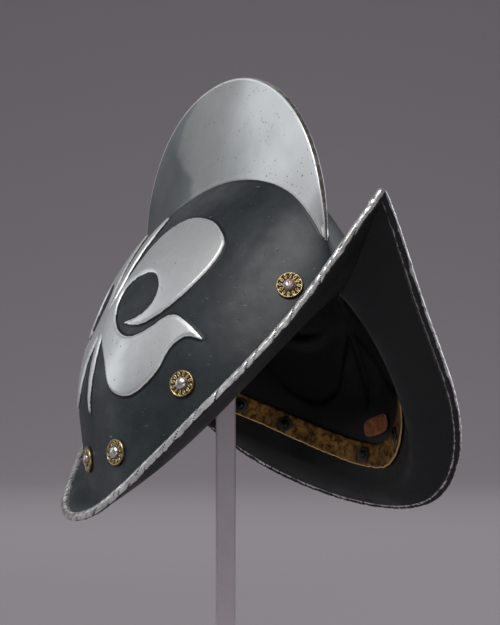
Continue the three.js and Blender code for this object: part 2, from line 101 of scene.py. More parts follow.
@dataclass(frozen=True)
class EdgeRow:
    """Control point of the brim's edge, in shares of half-width, reach and rise."""

    out: float
    along: float
    rise: float


# The rows between the ends of both edges come from a fit to the photograph, rounded.
FRONT_EDGE = (
    EdgeRow(1, 0, 0),
    EdgeRow(1, 0.33, 0),
    EdgeRow(0.75, 0.64, 0.38),
    EdgeRow(0.38, 0.69, 0.44),
    EdgeRow(0.31, 0.84, 0.69),
    EdgeRow(0, 1, 1),
)
REAR_EDGE = (
    EdgeRow(1, 0, 0),
    EdgeRow(1, 0.39, 0),
    EdgeRow(0.68, 0.69, 0.25),
    EdgeRow(0.34, 0.74, 0.35),
    EdgeRow(0.3, 0.87, 0.59),
    EdgeRow(0, 1, 1),
)


@dataclass(frozen=True)
class LilyRow:
    """Point of half the lily, in shares of its half-width and height."""

    out: float
    up: float
    corner: bool = False


# Worked out by fits to the lily's outline in the photograph, then thinned and changed.
LILY_HALF = (
    LilyRow(0, 0.9, True),
    LilyRow(0.035, 0.84),
    LilyRow(0.045, 0.76),
    LilyRow(0.04, 0.68),
    LilyRow(0.04, 0.58),
    LilyRow(0.02, 0.47, True),
    LilyRow(0.08, 0.58),
    LilyRow(0.19, 0.78),
    LilyRow(0.385, 0.85),
    LilyRow(0.64, 0.82),
    LilyRow(0.82, 0.73),
    LilyRow(0.855, 0.65),
    LilyRow(0.79, 0.54),
    LilyRow(0.645, 0.43),
    LilyRow(0.465, 0.365),
    LilyRow(0.28, 0.38, True),
    LilyRow(0.405, 0.4),
    LilyRow(0.495, 0.45),
    LilyRow(0.495, 0.53),
    LilyRow(0.4, 0.6),
    LilyRow(0.27, 0.61),
    LilyRow(0.14, 0.57),
    LilyRow(0.1, 0.5),
    LilyRow(0.15, 0.41),
    LilyRow(0.26, 0.34),
    LilyRow(0.38, 0.31),
    LilyRow(0.51, 0.325),
    LilyRow(0.68, 0.385),
    LilyRow(0.81, 0.34),
    LilyRow(0.93, 0.255, True),
    LilyRow(0.825, 0.28),
    LilyRow(0.735, 0.235),
    LilyRow(0.65, 0.12),
    LilyRow(0.47, 0.04),
    LilyRow(0.29, 0.08),
    LilyRow(0.17, 0.22),
    LilyRow(0.03, 0.34, True),
    LilyRow(0.03, 0.2),
    LilyRow(0.02, 0.08),
    LilyRow(0, -0.02, True),
)


@dataclass(frozen=True)
class Seat:
    """Place on the helmet's wall with its outward direction, in helmet millimetres."""

    place: Array
    normal: Array

    def spread(self, across: Array, along: Array, out: Array) -> Array:
        """Moves from a flat pattern to the wall.

        Args:
            across: distances along the wall, level.
            along: distances along the wall, upwards.
            out: distances out from the wall.

        Returns:
            Points in helmet millimetres.
        """
        level = np.cross((0, 0, 1), self.normal)
        level /= np.linalg.norm(level)
        rising = np.cross(self.normal, level)
        return (
            self.place
            + across[..., None] * level
            + along[..., None] * rising
            + out[..., None] * self.normal
        )


@dataclass(frozen=True)
class Skin:
    """Outer skin of bowl and brim, from the edge at climb 0 to the crown at climb 2."""

    sheet: float = 1.5
    brim_half_width: float = 116.5
    front_reach: float = 177
    rear_reach: float = 165
    front_rise: float = 145
    rear_rise: float = 169
    bowl_half_width: float = 99
    bowl_front: float = 125.5
    bowl_rear: float = 119
    set_back: float = 9
    wall_top: float = 70
    crown: float = 201
    roundness: float = 1.8
    nose_roundness: float = 1.3
    crown_across: float = 1.55
    crown_front: float = 3.05
    crown_rear: float = 2.2
    bend_side: float = 14
    bend_front: float = 104
    bend_rear: float = 91
    front_sweep: float = 2.5
    rear_sweep: float = 1.8
    bend_depth: float = 8
    line_side: float = 31.5
    line_front: float = 125
    line_rear: float = 110
    line_sweep: float = 1.75
    lift: float = 200
    pitch: float = 14.6
    behind: float = 47

    def edge(self, turn: Array) -> Array:
        """The brim's edge.

        Args:
            turn: angles from the front peak through the wearer's left.

        Returns:
            Points in helmet millimetres.
        """
        across, ahead = np.sin(turn), np.cos(turn) >= 0
        share = np.arccos(np.minimum(1, np.abs(across))) / (np.pi / 2)
        side = np.where(across >= 0, 1.0, -1.0)

        def curve(rows: tuple[EdgeRow, ...], reach: float, rise: float) -> Array:
            """Bezier curve through the rows' first and last point."""
            degree = len(rows) - 1
            total = np.zeros(turn.shape + (3,))
            for index, row in enumerate(rows):
                weight = math.comb(degree, index) * (1 - share) ** (degree - index) * share**index
                point = (row.out * self.brim_half_width, row.along * reach, row.rise * rise)
                total += weight[..., None] * np.array(point)
            return total

        front = curve(FRONT_EDGE, -self.front_reach, self.front_rise)
        rear = curve(REAR_EDGE, self.rear_reach, self.rear_rise)
        points = np.where(ahead[..., None], front, rear)
        points[..., 0] *= side
        return points

    def bend(self, turn: Array) -> Array:
        """Height at which bowl and brim meet."""
        ahead = np.cos(turn) >= 0
        end = np.where(ahead, self.bend_front, self.bend_rear)
        sweep = np.where(ahead, self.front_sweep, self.rear_sweep)
        return self.bend_side + (end - self.bend_side) * np.abs(np.cos(turn)) ** sweep

    def line(self, turn: Array) -> Array:
        """Height of the lining band's middle and of the rivets."""
        end = np.where(np.cos(turn) >= 0, self.line_front, self.line_rear)
        return self.line_side + (end - self.line_side) * np.abs(np.cos(turn)) ** self.line_sweep

    def shares(self, ahead: Array, height: Array) -> tuple[Array, Array]:
        """Shares of the bowl's full width and length that are left at a height."""
        share = np.clip((height - self.wall_top) / (self.crown - self.wall_top), 0, 1)
        power = np.where(ahead, self.crown_front, self.crown_rear)
        across = (1 - share**self.crown_across) ** (1 / self.crown_across)
        along = (1 - share**power) ** (1 / power)
        return across, along

    def bowl(self, turn: Array, height: Array) -> Array:
        """Point of the bowl at a turn and a height."""
        sine, cosine = np.sin(turn), np.cos(turn)
        ahead = cosine >= 0
        across, along = self.shares(ahead, height)
        reach = np.where(ahead, self.bowl_front, self.bowl_rear)
        power = 2 / np.where(ahead, self.nose_roundness, self.roundness)
        x = self.bowl_half_width * across * np.sign(sine) * np.abs(sine) ** power
        y = self.set_back - reach * along * np.sign(cosine) * np.abs(cosine) ** (2 / self.roundness)
        return np.stack([x, y, height + 0 * x], -1)

    def point(self, turn: Array, climb: Array) -> Array:
        """Point of the outer skin.

        Args:
            turn: angles from the front peak.
            climb: 0 at the edge, 1 at the bend, 2 at the crown.

        Returns:
            Points in helmet millimetres.
        """
        turn, climb = np.broadcast_arrays(np.asarray(turn, float), np.asarray(climb, float))
        bend = self.bend(turn)
        rise = np.sin(np.clip(climb - 1, 0, 1) * np.pi / 2)
        upper = self.bowl(turn, bend + (self.crown - bend) * rise)
        base = self.bowl(turn, bend)
        below = base - np.array((0, 0, self.bend_depth))
        share = np.clip(climb, 0, 1)[..., None]
        lower = (1 - share) ** 2 * self.edge(turn) + 2 * share * (1 - share) * below + share**2 * base
        return np.where(climb[..., None] >= 1, upper, lower)

    def normal(self, turn: Array, climb: Array) -> Array:
        """Outward direction of the skin."""
        step = 0.01
        turn, climb = np.broadcast_arrays(np.asarray(turn, float), np.asarray(climb, float))
        round_ = self.point(turn + step, climb) - self.point(turn - step, climb)
        high = np.minimum(climb + step, 2 - step)
        rising = self.point(turn, high) - self.point(turn, np.maximum(climb - step, 0))
        normal = np.cross(round_, rising)
        return normal / np.maximum(np.linalg.norm(normal, axis=-1, keepdims=True), 1e-9)

    def climb(self, turn: Array, height: Array) -> Array:
        """Climb of the wall at a turn and a height."""
        bend = self.bend(turn)
        return 1 + np.arcsin((height - bend) / (self.crown - bend)) / (np.pi / 2)

    def seat(self, turn: float, height: float) -> Seat:
        """Place on the wall at a turn and a height."""
        climb = self.climb(turn, height)
        return Seat(self.point(turn, climb), self.normal(turn, climb))

    def reach(self, across: Array, direction: Array) -> Array:
        """Distance from the fan point to the bowl along directions in the middle plane."""
        across = np.broadcast_to(across, direction.shape[:-1])
        inside = np.zeros(direction.shape[:-1])
        outside = np.full(direction.shape[:-1], self.crown * 2)
        for _ in range(40):
            middle = (inside + outside) / 2
            y = self.set_back + direction[..., 1] * middle
            z = self.wall_top + direction[..., 2] * middle
            ahead = y <= self.set_back
            wide, long = self.shares(ahead, z)
            full = np.where(ahead, self.bowl_front, self.bowl_rear)
            power = np.where(ahead, self.nose_roundness, self.roundness)
            total = (np.abs(across) / (self.bowl_half_width * wide + 1e-9)) ** power
            total = total + (np.abs(y - self.set_back) / (full * long + 1e-9)) ** self.roundness
            inside = np.where(total < 1, middle, inside)
            outside = np.where(total < 1, outside, middle)
        return inside

    def to_row(self, points: Array) -> Array:
        """From helmet millimetres to the stand's frame in metres."""
        tilt = math.radians(self.pitch)
        x, y, z = points[..., 0], points[..., 1], points[..., 2]
        forward = y * math.cos(tilt) + z * math.sin(tilt) - self.behind
        upward = z * math.cos(tilt) - y * math.sin(tilt) + self.lift
        return np.stack([x, forward, upward], -1) * MM


@dataclass(frozen=True)
class Lily:
    """Outline of the embossed lily in the side view."""

    half_width: float = 90
    height: float = 130
    foot_height: float = 66
    set_back: float = 21
    lean: float = 8
    steps: int = 7

    def outline(self) -> Array:
        """Closed outline as (y, z) points in helmet millimetres."""
        half: list[Array] = []
        stretch: list[Array] = []
        for index, row in enumerate(LILY_HALF):
            stretch.append(np.array((row.out * self.half_width, row.up * self.height)))
            if row.corner and index > 0:
                half.extend(self.smooth(stretch))
                stretch = [stretch[-1]]
        half.append(stretch[-1])
        other = [point * (-1, 1) for point in half[1:-1]][::-1]
        points = np.array(half + other)
        lean = math.radians(self.lean)
        y = self.set_back - (points[:, 0] * math.cos(lean) + points[:, 1] * math.sin(lean))
        z = self.foot_height + points[:, 1] * math.cos(lean) - points[:, 0] * math.sin(lean)
        return np.stack([y, z], -1)

    def smooth(self, controls: list[Array]) -> list[Array]:
        """Catmull-Rom curve through the controls, without its last point."""
        points = []
        last = len(controls) - 1
        for index in range(last):
            before = controls[max(index - 1, 0)]
            start, end = controls[index], controls[index + 1]
            after = controls[min(index + 2, last)]
            for step in range(self.steps):
                share = step / self.steps
                out = (end - before) / 2
                home = (after - start) / 2
                points.append(
                    start
                    + out * share
                    + (3 * (end - start) - 2 * out - home) * share**2
                    + (2 * (start - end) + out + home) * share**3
                )
        return points

    def distance(self, points: Array, normals: Array) -> Array:
        """Signed distance along the skin to the lily's outline.

        Args:
            points: places on the skin, one row each.
            normals: outward directions there.

        Returns:
            Millimetres, positive inside the lily.
        """
        outline = self.outline()
        start, end = outline, np.roll(outline, -1, 0)
        span = end - start
        result = np.full(len(points), -50.0)
        low, high = outline.min(0) - 12, outline.max(0) + 12
        side = points[:, 1:]
        near = ((side > low) & (side < high)).all(1)
        for part in np.array_split(np.flatnonzero(near), 60):
            place = side[part][:, None]
            share = ((place - start) * span).sum(-1) / np.maximum((span**2).sum(-1), 1e-9)
            gap = place - (start + np.clip(share, 0, 1)[..., None] * span)
            length = np.linalg.norm(gap, axis=-1)
            best = length.argmin(1)
            rows = np.arange(len(part))
            nearest, gap = length[rows, best], gap[rows, best]
            y, z = place[..., 0], place[..., 1]
            crosses = (start[:, 1] > z) != (end[:, 1] > z)
            rise = np.where(np.abs(span[:, 1]) < 1e-9, 1e-9, span[:, 1])
            crosses &= y < start[:, 0] + (z - start[:, 1]) * span[:, 0] / rise
            inside = crosses.sum(1) % 2 == 1
            way = gap / np.maximum(nearest[:, None], 1e-9)
            normal = normals[part]
            flank = np.maximum(np.abs(normal[:, 0]), 0.15)
            tilt = (normal[:, 1] * way[:, 0] + normal[:, 2] * way[:, 1]) / flank
            result[part] = np.where(inside, 1, -1) * nearest * np.sqrt(1 + tilt**2)
        return result


def grid_quads(rows: int, columns: int, close_rows: bool = False, first: int = 0) -> Array:
    """Quads of a grid whose columns close on themselves.

    Args:
        rows: how many rows of points.
        columns: points in a row.
        close_rows: whether the last row joins the first.
        first: number of the first point.

    Returns:
        Four point numbers for each quad.
    """
    row = np.arange(rows if close_rows else rows - 1)[:, None]
    column = np.arange(columns)[None, :]
    above, after = (row + 1) % rows, (column + 1) % columns
    low, high = row * columns, above * columns
    corners = (low + column, low + after, high + after, high + column)
    return np.stack(corners, -1).reshape(-1, 4) + first


def fan(ring: Iterable[int], pole: int) -> Array:
    """Triangles from a closed ring of point numbers to one pole."""
    numbers = np.array(list(ring))
    return np.stack([numbers, np.roll(numbers, -1), np.full(len(numbers), pole)], -1)


@dataclass
class Piece:
    """Mesh of one piece, with the marks that its finish reads."""

    name: str
    points: Array
    quads: Array
    triangles: Array = field(default_factory=lambda: np.zeros((0, 3), int))
    marks: dict[str, Array] = field(default_factory=dict)

    def make(self, material: bpy.types.Material, slot: str, *nodes: str) -> bpy.types.Object:
        """Makes the object and lets it stand for its CAD nodes.

        Args:
            material: the piece's finish.
            slot: name of a material slot; not used.
            nodes: CAD nodes that the piece replaces.

        Returns:
            The new object.
        """
        mesh = bpy.data.meshes.new(self.name)
        corners = np.concatenate([self.quads.ravel(), self.triangles.ravel()])
        starts = np.concatenate([
            np.arange(len(self.quads)) * 4,
            len(self.quads) * 4 + np.arange(len(self.triangles)) * 3,
        ])
        mesh.vertices.add(len(self.points))
        mesh.vertices.foreach_set("co", self.points.astype(np.float32).ravel())
        mesh.loops.add(len(corners))
        mesh.loops.foreach_set("vertex_index", corners.astype(np.int32))
        mesh.polygons.add(len(starts))
        mesh.polygons.foreach_set("loop_start", starts.astype(np.int32))
        mesh.update(calc_edges=True)
        for name, values in self.marks.items():
            layer = mesh.attributes.new(name, "FLOAT", "POINT")
            layer.data.foreach_set("value", np.asarray(values, np.float32).ravel())
        mesh.shade_smooth()
        mesh.materials.append(material)
        obj = bpy.data.objects.new(self.name, mesh)
        bpy.context.scene.collection.objects.link(obj)
        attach(obj, "root")
        if nodes:
            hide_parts(*nodes)
        LOG.info("%s: %d faces", self.name, len(starts))
        return obj


@dataclass
class Bench:
    """Adds and joins shader nodes in one tree."""

    tree: bpy.types.NodeTree

    def add(self, kind: str, **settings: object) -> bpy.types.Node:
        """Adds a node and sets its properties."""
        node = self.tree.nodes.new(kind)
        for name, value in settings.items():
            setattr(node, name, value)
        return node

    def put(self, socket: Socket, value: Value) -> None:
        """Joins another socket to this one, or sets its value."""
        if isinstance(value, bpy.types.NodeSocket):
            self.tree.links.new(value, socket)
        else:
            socket.default_value = value

    def math(self, operation: str, first: Value, second: Value = 0.0, clamp: bool = False) -> Socket:
        """One arithmetic step."""
        node = self.add("ShaderNodeMath", operation=operation, use_clamp=clamp)
        self.put(node.inputs[0], first)
        self.put(node.inputs[1], second)
        return node.outputs[0]

    def mark(self, name: str) -> Socket:
        """A number that the mesh carries at each point."""
        return self.add("ShaderNodeAttribute", attribute_name=name).outputs["Fac"]

    def place(self, scale: tuple[float, float, float] = (1, 1, 1)) -> Socket:
        """Place on the object in metres, stretched along its axes."""
        node = self.add("ShaderNodeMapping")
        self.put(node.inputs["Vector"], self.add("ShaderNodeTexCoord").outputs["Object"])
        node.inputs["Scale"].default_value = scale
        return node.outputs["Vector"]

    def noise(self, vector: Socket, scale: float, detail: float = 3, rough: float = 0.5) -> Socket:
        """Cloud noise around 0.5."""
        node = self.add("ShaderNodeTexNoise")
        self.put(node.inputs["Vector"], vector)
        self.put(node.inputs["Scale"], scale)
        self.put(node.inputs["Detail"], detail)
        self.put(node.inputs["Roughness"], rough)
        return node.outputs["Fac"]

    def step(self, value: Value, low: Value, high: Value, start: float = 0, end: float = 1) -> Socket:
        """Smooth rise from start to end as the value goes from low to high."""
        node = self.add("ShaderNodeMapRange", interpolation_type="SMOOTHSTEP")
        self.put(node.inputs["Value"], value)
        self.put(node.inputs["From Min"], low)
        self.put(node.inputs["From Max"], high)
        self.put(node.inputs["To Min"], start)
        self.put(node.inputs["To Max"], end)
        return node.outputs["Result"]

    def blend(self, share: Value, first: Value, second: Value) -> Socket:
        """Colour between two colours."""
        node = self.add("ShaderNodeMix", data_type="RGBA")
        self.put(node.inputs["Factor"], share)
        self.put(node.inputs[6], first)
        self.put(node.inputs[7], second)
        return node.outputs[2]

    def lerp(self, share: Value, first: Value, second: Value) -> Socket:
        """Number between two numbers."""
        node = self.add("ShaderNodeMix", data_type="FLOAT")
        self.put(node.inputs["Factor"], share)
        self.put(node.inputs[2], first)
        self.put(node.inputs[3], second)
        return node.outputs[0]

    def bump(self, height: Socket, strength: float, distance: float) -> Socket:
        """Normal from a height in metres times distance."""
        node = self.add("ShaderNodeBump")
        self.put(node.inputs["Height"], height)
        node.inputs["Strength"].default_value = strength
        node.inputs["Distance"].default_value = distance
        return node.outputs["Normal"]


def new_group(name: str, inputs: dict[str, tuple[str, object]], outputs: dict[str, str]) -> tuple:
    """Starts a shader node group.

    Args:
        name: the group's name.
        inputs: socket kind and first value of each input.
        outputs: socket kind of each output.

    Returns:
        The group, its bench, its input node and its output node.
    """
    group = bpy.data.node_groups.new(name, "ShaderNodeTree")
    for label, (kind, value) in inputs.items():
        socket = group.interface.new_socket(label, in_out="INPUT", socket_type=kind)
        if value is not None:
            socket.default_value = value
    for label, kind in outputs.items():
        group.interface.new_socket(label, in_out="OUTPUT", socket_type=kind)
    bench = Bench(group)
    return group, bench, bench.add("NodeGroupInput"), bench.add("NodeGroupOutput")


FLOAT = "NodeSocketFloat"
VECTOR = "NodeSocketVector"
COLOUR = "NodeSocketColor"


class Effects:
    """Node groups that several finishes share."""

    def __init__(self) -> None:
        """Builds each group once."""
        self.pits = self.build_pits()
        self.clouds = self.build_clouds()
        self.wear = self.build_wear()
        self.strokes = self.build_strokes()

    def build_pits(self) -> bpy.types.NodeTree:
        """Small dark rust pits, thicker in some regions."""
        group, bench, start, end = new_group(
            "rust_pits",
            {"Place": (VECTOR, None), "Scale": (FLOAT, 400.0), "Amount": (FLOAT, 0.3)},
            {"Mask": FLOAT, "Height": FLOAT},
        )
        cells = bench.add("ShaderNodeTexVoronoi", feature="F1")
        bench.put(cells.inputs["Vector"], start.outputs["Place"])
        bench.put(cells.inputs["Scale"], start.outputs["Scale"])
        region = bench.noise(start.outputs["Place"], 45, 2)
        chance = bench.add("ShaderNodeSeparateColor")
        bench.put(chance.inputs[0], cells.outputs["Color"])
        limit = bench.math("MULTIPLY", bench.step(region, 0.35, 0.75), start.outputs["Amount"])
        chosen = bench.math("LESS_THAN", chance.outputs[0], limit)
        size = bench.math("MULTIPLY_ADD", chance.outputs[1], 0.25)
        size.node.inputs[2].default_value = 0.08
        near = bench.math("SUBTRACT", 1.0, bench.step(cells.outputs["Distance"], 0.0, size))
        mask = bench.math("MULTIPLY", near, chosen)
        bench.put(end.inputs["Mask"], mask)
        bench.put(end.inputs["Height"], bench.math("MULTIPLY", mask, -1.0))
        return group

    def build_clouds(self) -> bpy.types.NodeTree:
        """Two tones in soft clouds."""
        group, bench, start, end = new_group(
            "tone_clouds",
            {
                "Place": (VECTOR, None),
                "Scale": (FLOAT, 20.0),
                "First": (COLOUR, (0.1, 0.1, 0.1, 1)),
                "Second": (COLOUR, (0.2, 0.2, 0.2, 1)),
            },
            {"Colour": COLOUR, "Share": FLOAT},
        )
        cloud = bench.add("ShaderNodeTexNoise")
        bench.put(cloud.inputs["Vector"], start.outputs["Place"])
        bench.put(cloud.inputs["Scale"], start.outputs["Scale"])
        cloud.inputs["Detail"].default_value = 5
        cloud.inputs["Roughness"].default_value = 0.6
        share = bench.step(cloud.outputs["Fac"], 0.32, 0.68)
        bench.put(end.inputs["Colour"], bench.blend(share, start.outputs["First"], start.outputs["Second"]))
        bench.put(end.inputs["Share"], share)
        return group

    def build_wear(self) -> bpy.types.NodeTree:
        """Ragged wear within a width of an edge."""
        group, bench, start, end = new_group(
            "edge_wear",
            {
                "Place": (VECTOR, None),
                "Distance": (FLOAT, 0.0),
                "Width": (FLOAT, 1.0),
                "Ragged": (FLOAT, 1.0),
            },
            {"Mask": FLOAT},
        )
        rough = bench.math("SUBTRACT", bench.noise(start.outputs["Place"], 160, 4, 0.65), 0.5)
        shift = bench.math("MULTIPLY", rough, start.outputs["Ragged"])
        away = bench.math("ADD", start.outputs["Distance"], shift)
        inner = bench.math("MULTIPLY", start.outputs["Width"], 0.6)
        mask = bench.math("SUBTRACT", 1.0, bench.step(away, inner, start.outputs["Width"]))
        bench.put(end.inputs["Mask"], mask)
        return group

    def build_strokes(self) -> bpy.types.NodeTree:
        """Fine brushed strokes and a few scratches, as a number around 0.5."""
        group, bench, start, end = new_group(
            "brush_strokes",
            {"Place": (VECTOR, None), "Stretch": (VECTOR, (1, 1, 1))},
            {"Share": FLOAT, "Scratch": FLOAT},
        )
        stretched = bench.add("ShaderNodeVectorMath", operation="MULTIPLY")
        bench.put(stretched.inputs[0], start.outputs["Place"])
        bench.put(stretched.inputs[1], start.outputs["Stretch"])
        fine = bench.noise(stretched.outputs[0], 90, 4, 0.7)
        line = bench.noise(stretched.outputs[0], 300, 2)
        bench.put(end.inputs["Share"], fine)
        bench.put(end.inputs["Scratch"], bench.step(line, 0.7, 0.76))
        return group


EFFECTS = Effects()


@dataclass(frozen=True)
class Finish:
    """A surface finish. Each kind dresses a Principled shader in its own way."""

    name: str

    def material(self) -> bpy.types.Material:
        """Makes the finish's material."""
        material = bpy.data.materials.new(self.name)
        material.use_nodes = True
        material.node_tree.nodes.clear()
        bench = Bench(material.node_tree)
        shader = bench.add("ShaderNodeBsdfPrincipled")
        output = bench.add("ShaderNodeOutputMaterial")
        bench.put(output.inputs["Surface"], shader.outputs["BSDF"])
        self.dress(bench, shader)
        return material

    def dress(self, bench: Bench, shader: bpy.types.Node) -> None:
        """Joins the finish's nodes to the shader."""
        raise NotImplementedError

    @staticmethod
    def pits(bench: Bench, place: Socket, scale: float, amount: Value) -> bpy.types.Node:
        """Places the rust pits."""
        node = bench.add("ShaderNodeGroup", node_tree=EFFECTS.pits)
        bench.put(node.inputs["Place"], place)
        bench.put(node.inputs["Scale"], scale)
        bench.put(node.inputs["Amount"], amount)
        return node

    @staticmethod
    def clouds(bench: Bench, place: Socket, scale: float, first: tuple, second: tuple) -> bpy.types.Node:
        """Places the two-tone clouds."""
        node = bench.add("ShaderNodeGroup", node_tree=EFFECTS.clouds)
        bench.put(node.inputs["Place"], place)
        bench.put(node.inputs["Scale"], scale)
        bench.put(node.inputs["First"], first)
        bench.put(node.inputs["Second"], second)
        return node

    @staticmethod
    def wear(bench: Bench, place: Socket, distance: Value, width: float, ragged: float) -> Socket:
        """Places the edge wear and gives its mask."""
        node = bench.add("ShaderNodeGroup", node_tree=EFFECTS.wear)
        bench.put(node.inputs["Place"], place)
        bench.put(node.inputs["Distance"], distance)
        bench.put(node.inputs["Width"], width)
        bench.put(node.inputs["Ragged"], ragged)
        return node.outputs["Mask"]

    @staticmethod
    def strokes(bench: Bench, place: Socket, stretch: tuple) -> bpy.types.Node:
        """Places the brushed strokes."""
        node = bench.add("ShaderNodeGroup", node_tree=EFFECTS.strokes)
        bench.put(node.inputs["Place"], place)
        bench.put(node.inputs["Stretch"], stretch)
        return node


@dataclass(frozen=True)
class PlateFinish(Finish):
    """Black paint over steel, with the lily left bright."""

    paint: tuple = (0.014, 0.020, 0.025, 1)
    paint_worn: tuple = (0.030, 0.038, 0.043, 1)
    steel: tuple = (0.74, 0.76, 0.77, 1)
    steel_dull: tuple = (0.58, 0.60, 0.60, 1)
    # Near-white of the painted highlight along the lily's crest.
    painted_highlight: tuple = (0.88, 0.89, 0.88, 1)
    # Dark of the rust pits and paint chips, also used as painted shade in the groove round the lily.
    pit_dark_and_groove_shade: tuple = (0.006, 0.007, 0.008, 1)

    def dress(self, bench: Bench, shader: bpy.types.Node) -> None:
        """Joins paint, bright lily and wear, with painted shade in the groove round the lily and a painted
        highlight along its crest.
        """
        place = bench.place()
        tremble = bench.math("SUBTRACT", bench.noise(place, 220, 3), 0.5)
        lily = bench.math("ADD", bench.mark("lily_mm"), bench.math("MULTIPLY", tremble, 0.5))
        bright = bench.step(lily, -0.35, 0.0)
        rim = self.wear(bench, place, bench.mark("edge_mm"), 3.4, 2.6)
        paint = self.clouds(bench, place, 48, self.paint, self.paint_worn)
        strokes = self.strokes(bench, place, (1.2, 0.5, 2.6))
        scuffed = bench.blend(
            bench.math("MULTIPLY", strokes.outputs["Scratch"], 0.18),
            paint.outputs["Colour"],
            self.steel_dull,
        )
        chips = self.pits(bench, place, 300, 0.3)
        chipped = bench.blend(bench.math("MULTIPLY", chips.outputs["Mask"], 0.55), scuffed, self.pit_dark_and_groove_shade)
        # Painted shade: darkens the groove just outside the lily's outline.
        line = bench.math("MULTIPLY", bench.step(lily, -2.3, -1.3), bench.step(lily, -0.2, -0.5))
        painted = bench.blend(bench.math("MULTIPLY", line, 0.95), chipped, self.pit_dark_and_groove_shade)
        steel = self.clouds(bench, place, 36, self.steel, self.steel_dull)
        pits = self.pits(bench, place, 360, 0.75)
        # Painted highlight: a thin near-white line along the lily's raised edge.
        painted_crest_highlight = bench.math("MULTIPLY", bench.step(lily, -0.4, 0.0), bench.step(lily, 0.8, 0.4))
        edged = bench.blend(painted_crest_highlight, steel.outputs["Colour"], self.painted_highlight)
        pitted = bench.blend(bench.math("MULTIPLY", pits.outputs["Mask"], 0.8), edged, self.pit_dark_and_groove_shade)
        metal = bench.math("MAXIMUM", bright, rim)
        bench.put(shader.inputs["Base Color"], bench.blend(metal, painted, pitted))
        shader.inputs["Specular IOR Level"].default_value = 0.36
        bench.put(shader.inputs["Metallic"], bench.math("MULTIPLY", metal, 0.66))
        paint_rough = bench.step(paint.outputs["Share"], 0, 1, 0.45, 0.40)
        steel_rough = bench.step(steel.outputs["Share"], 0, 1, 0.38, 0.48)
        bench.put(shader.inputs["Roughness"], bench.lerp(metal, paint_rough, steel_rough))
        hammer = bench.math("MULTIPLY", bench.noise(place, 95, 3), 0.9)
        relief = bench.math("ADD", hammer, pits.outputs["Height"])
        bench.put(shader.inputs["Normal"], bench.bump(relief, 0.25, 0.0006))


@dataclass(frozen=True)
class InsideFinish(Finish):
    """Near-black paint inside the bowl and under the brim, made darker deep inside the bowl by painted shade.
    """

    # paint: the colour of the painted shade deep inside the bowl.
    paint: tuple = (0.0035, 0.004, 0.0045, 1)
    brim: tuple = (0.011, 0.013, 0.0135, 1)
    worn: tuple = (0.026, 0.028, 0.027, 1)
    # black: the colour of the painted shade along the lily's sunk reverse.
    black: tuple = (0.0006, 0.0006, 0.0007, 1)
    bared: tuple = (0.16, 0.165, 0.16, 1)

    def dress(self, bench: Bench, shader: bpy.types.Node) -> None:
        """Joins the greyer paint of the brim and its worn edge with painted shade that makes the deep inside
        near-black and darkens the lily's sunk reverse.
        """
        place = bench.place()
        # Painted shade: the paint turns near-black from 45 to 75 mm in from the edge.
        depth = bench.step(bench.mark("edge_mm"), 45, 75)
        clouds = self.clouds(bench, place, 40, self.brim, self.worn)
        scuffs = bench.blend(bench.math("MULTIPLY", clouds.outputs["Share"], 0.35), self.brim, self.worn)
        # Painted shade: near-black along the slopes of the lily's sunk reverse.
        lily = bench.math("ABSOLUTE", bench.mark("lily_mm"))
        cut = bench.step(lily, 1.6, 0.7)
        colour = bench.blend(cut, bench.blend(depth, scuffs, self.paint), self.black)
        edge = self.wear(bench, place, bench.mark("edge_mm"), 4.2, 3.5)
        shader.inputs["Specular IOR Level"].default_value = 0.22
        half_edge = bench.math("MULTIPLY", edge, 0.5)
        bench.put(shader.inputs["Base Color"], bench.blend(half_edge, colour, self.bared))
        bench.put(shader.inputs["Metallic"], bench.math("MULTIPLY", edge, 0.6))
        bench.put(shader.inputs["Roughness"], bench.step(clouds.outputs["Share"], 0, 1, 0.42, 0.6))
        bench.put(shader.inputs["Normal"], bench.bump(bench.noise(place, 260, 4), 0.2, 0.0006))


@dataclass(frozen=True)
class WasherFinish(Finish):
    """Dull black iron."""

    first: tuple = (0.006, 0.006, 0.0065, 1)
    second: tuple = (0.02, 0.02, 0.02, 1)

    def dress(self, bench: Bench, shader: bpy.types.Node) -> None:
        """Joins two dark tones and a forged grain."""
        place = bench.place()
        clouds = self.clouds(bench, place, 300, self.first, self.second)
        bench.put(shader.inputs["Base Color"], clouds.outputs["Colour"])
        bench.put(shader.inputs["Roughness"], bench.step(clouds.outputs["Share"], 0, 1, 0.45, 0.6))
        bench.put(shader.inputs["Normal"], bench.bump(bench.noise(place, 600, 3), 0.3, 0.0003))


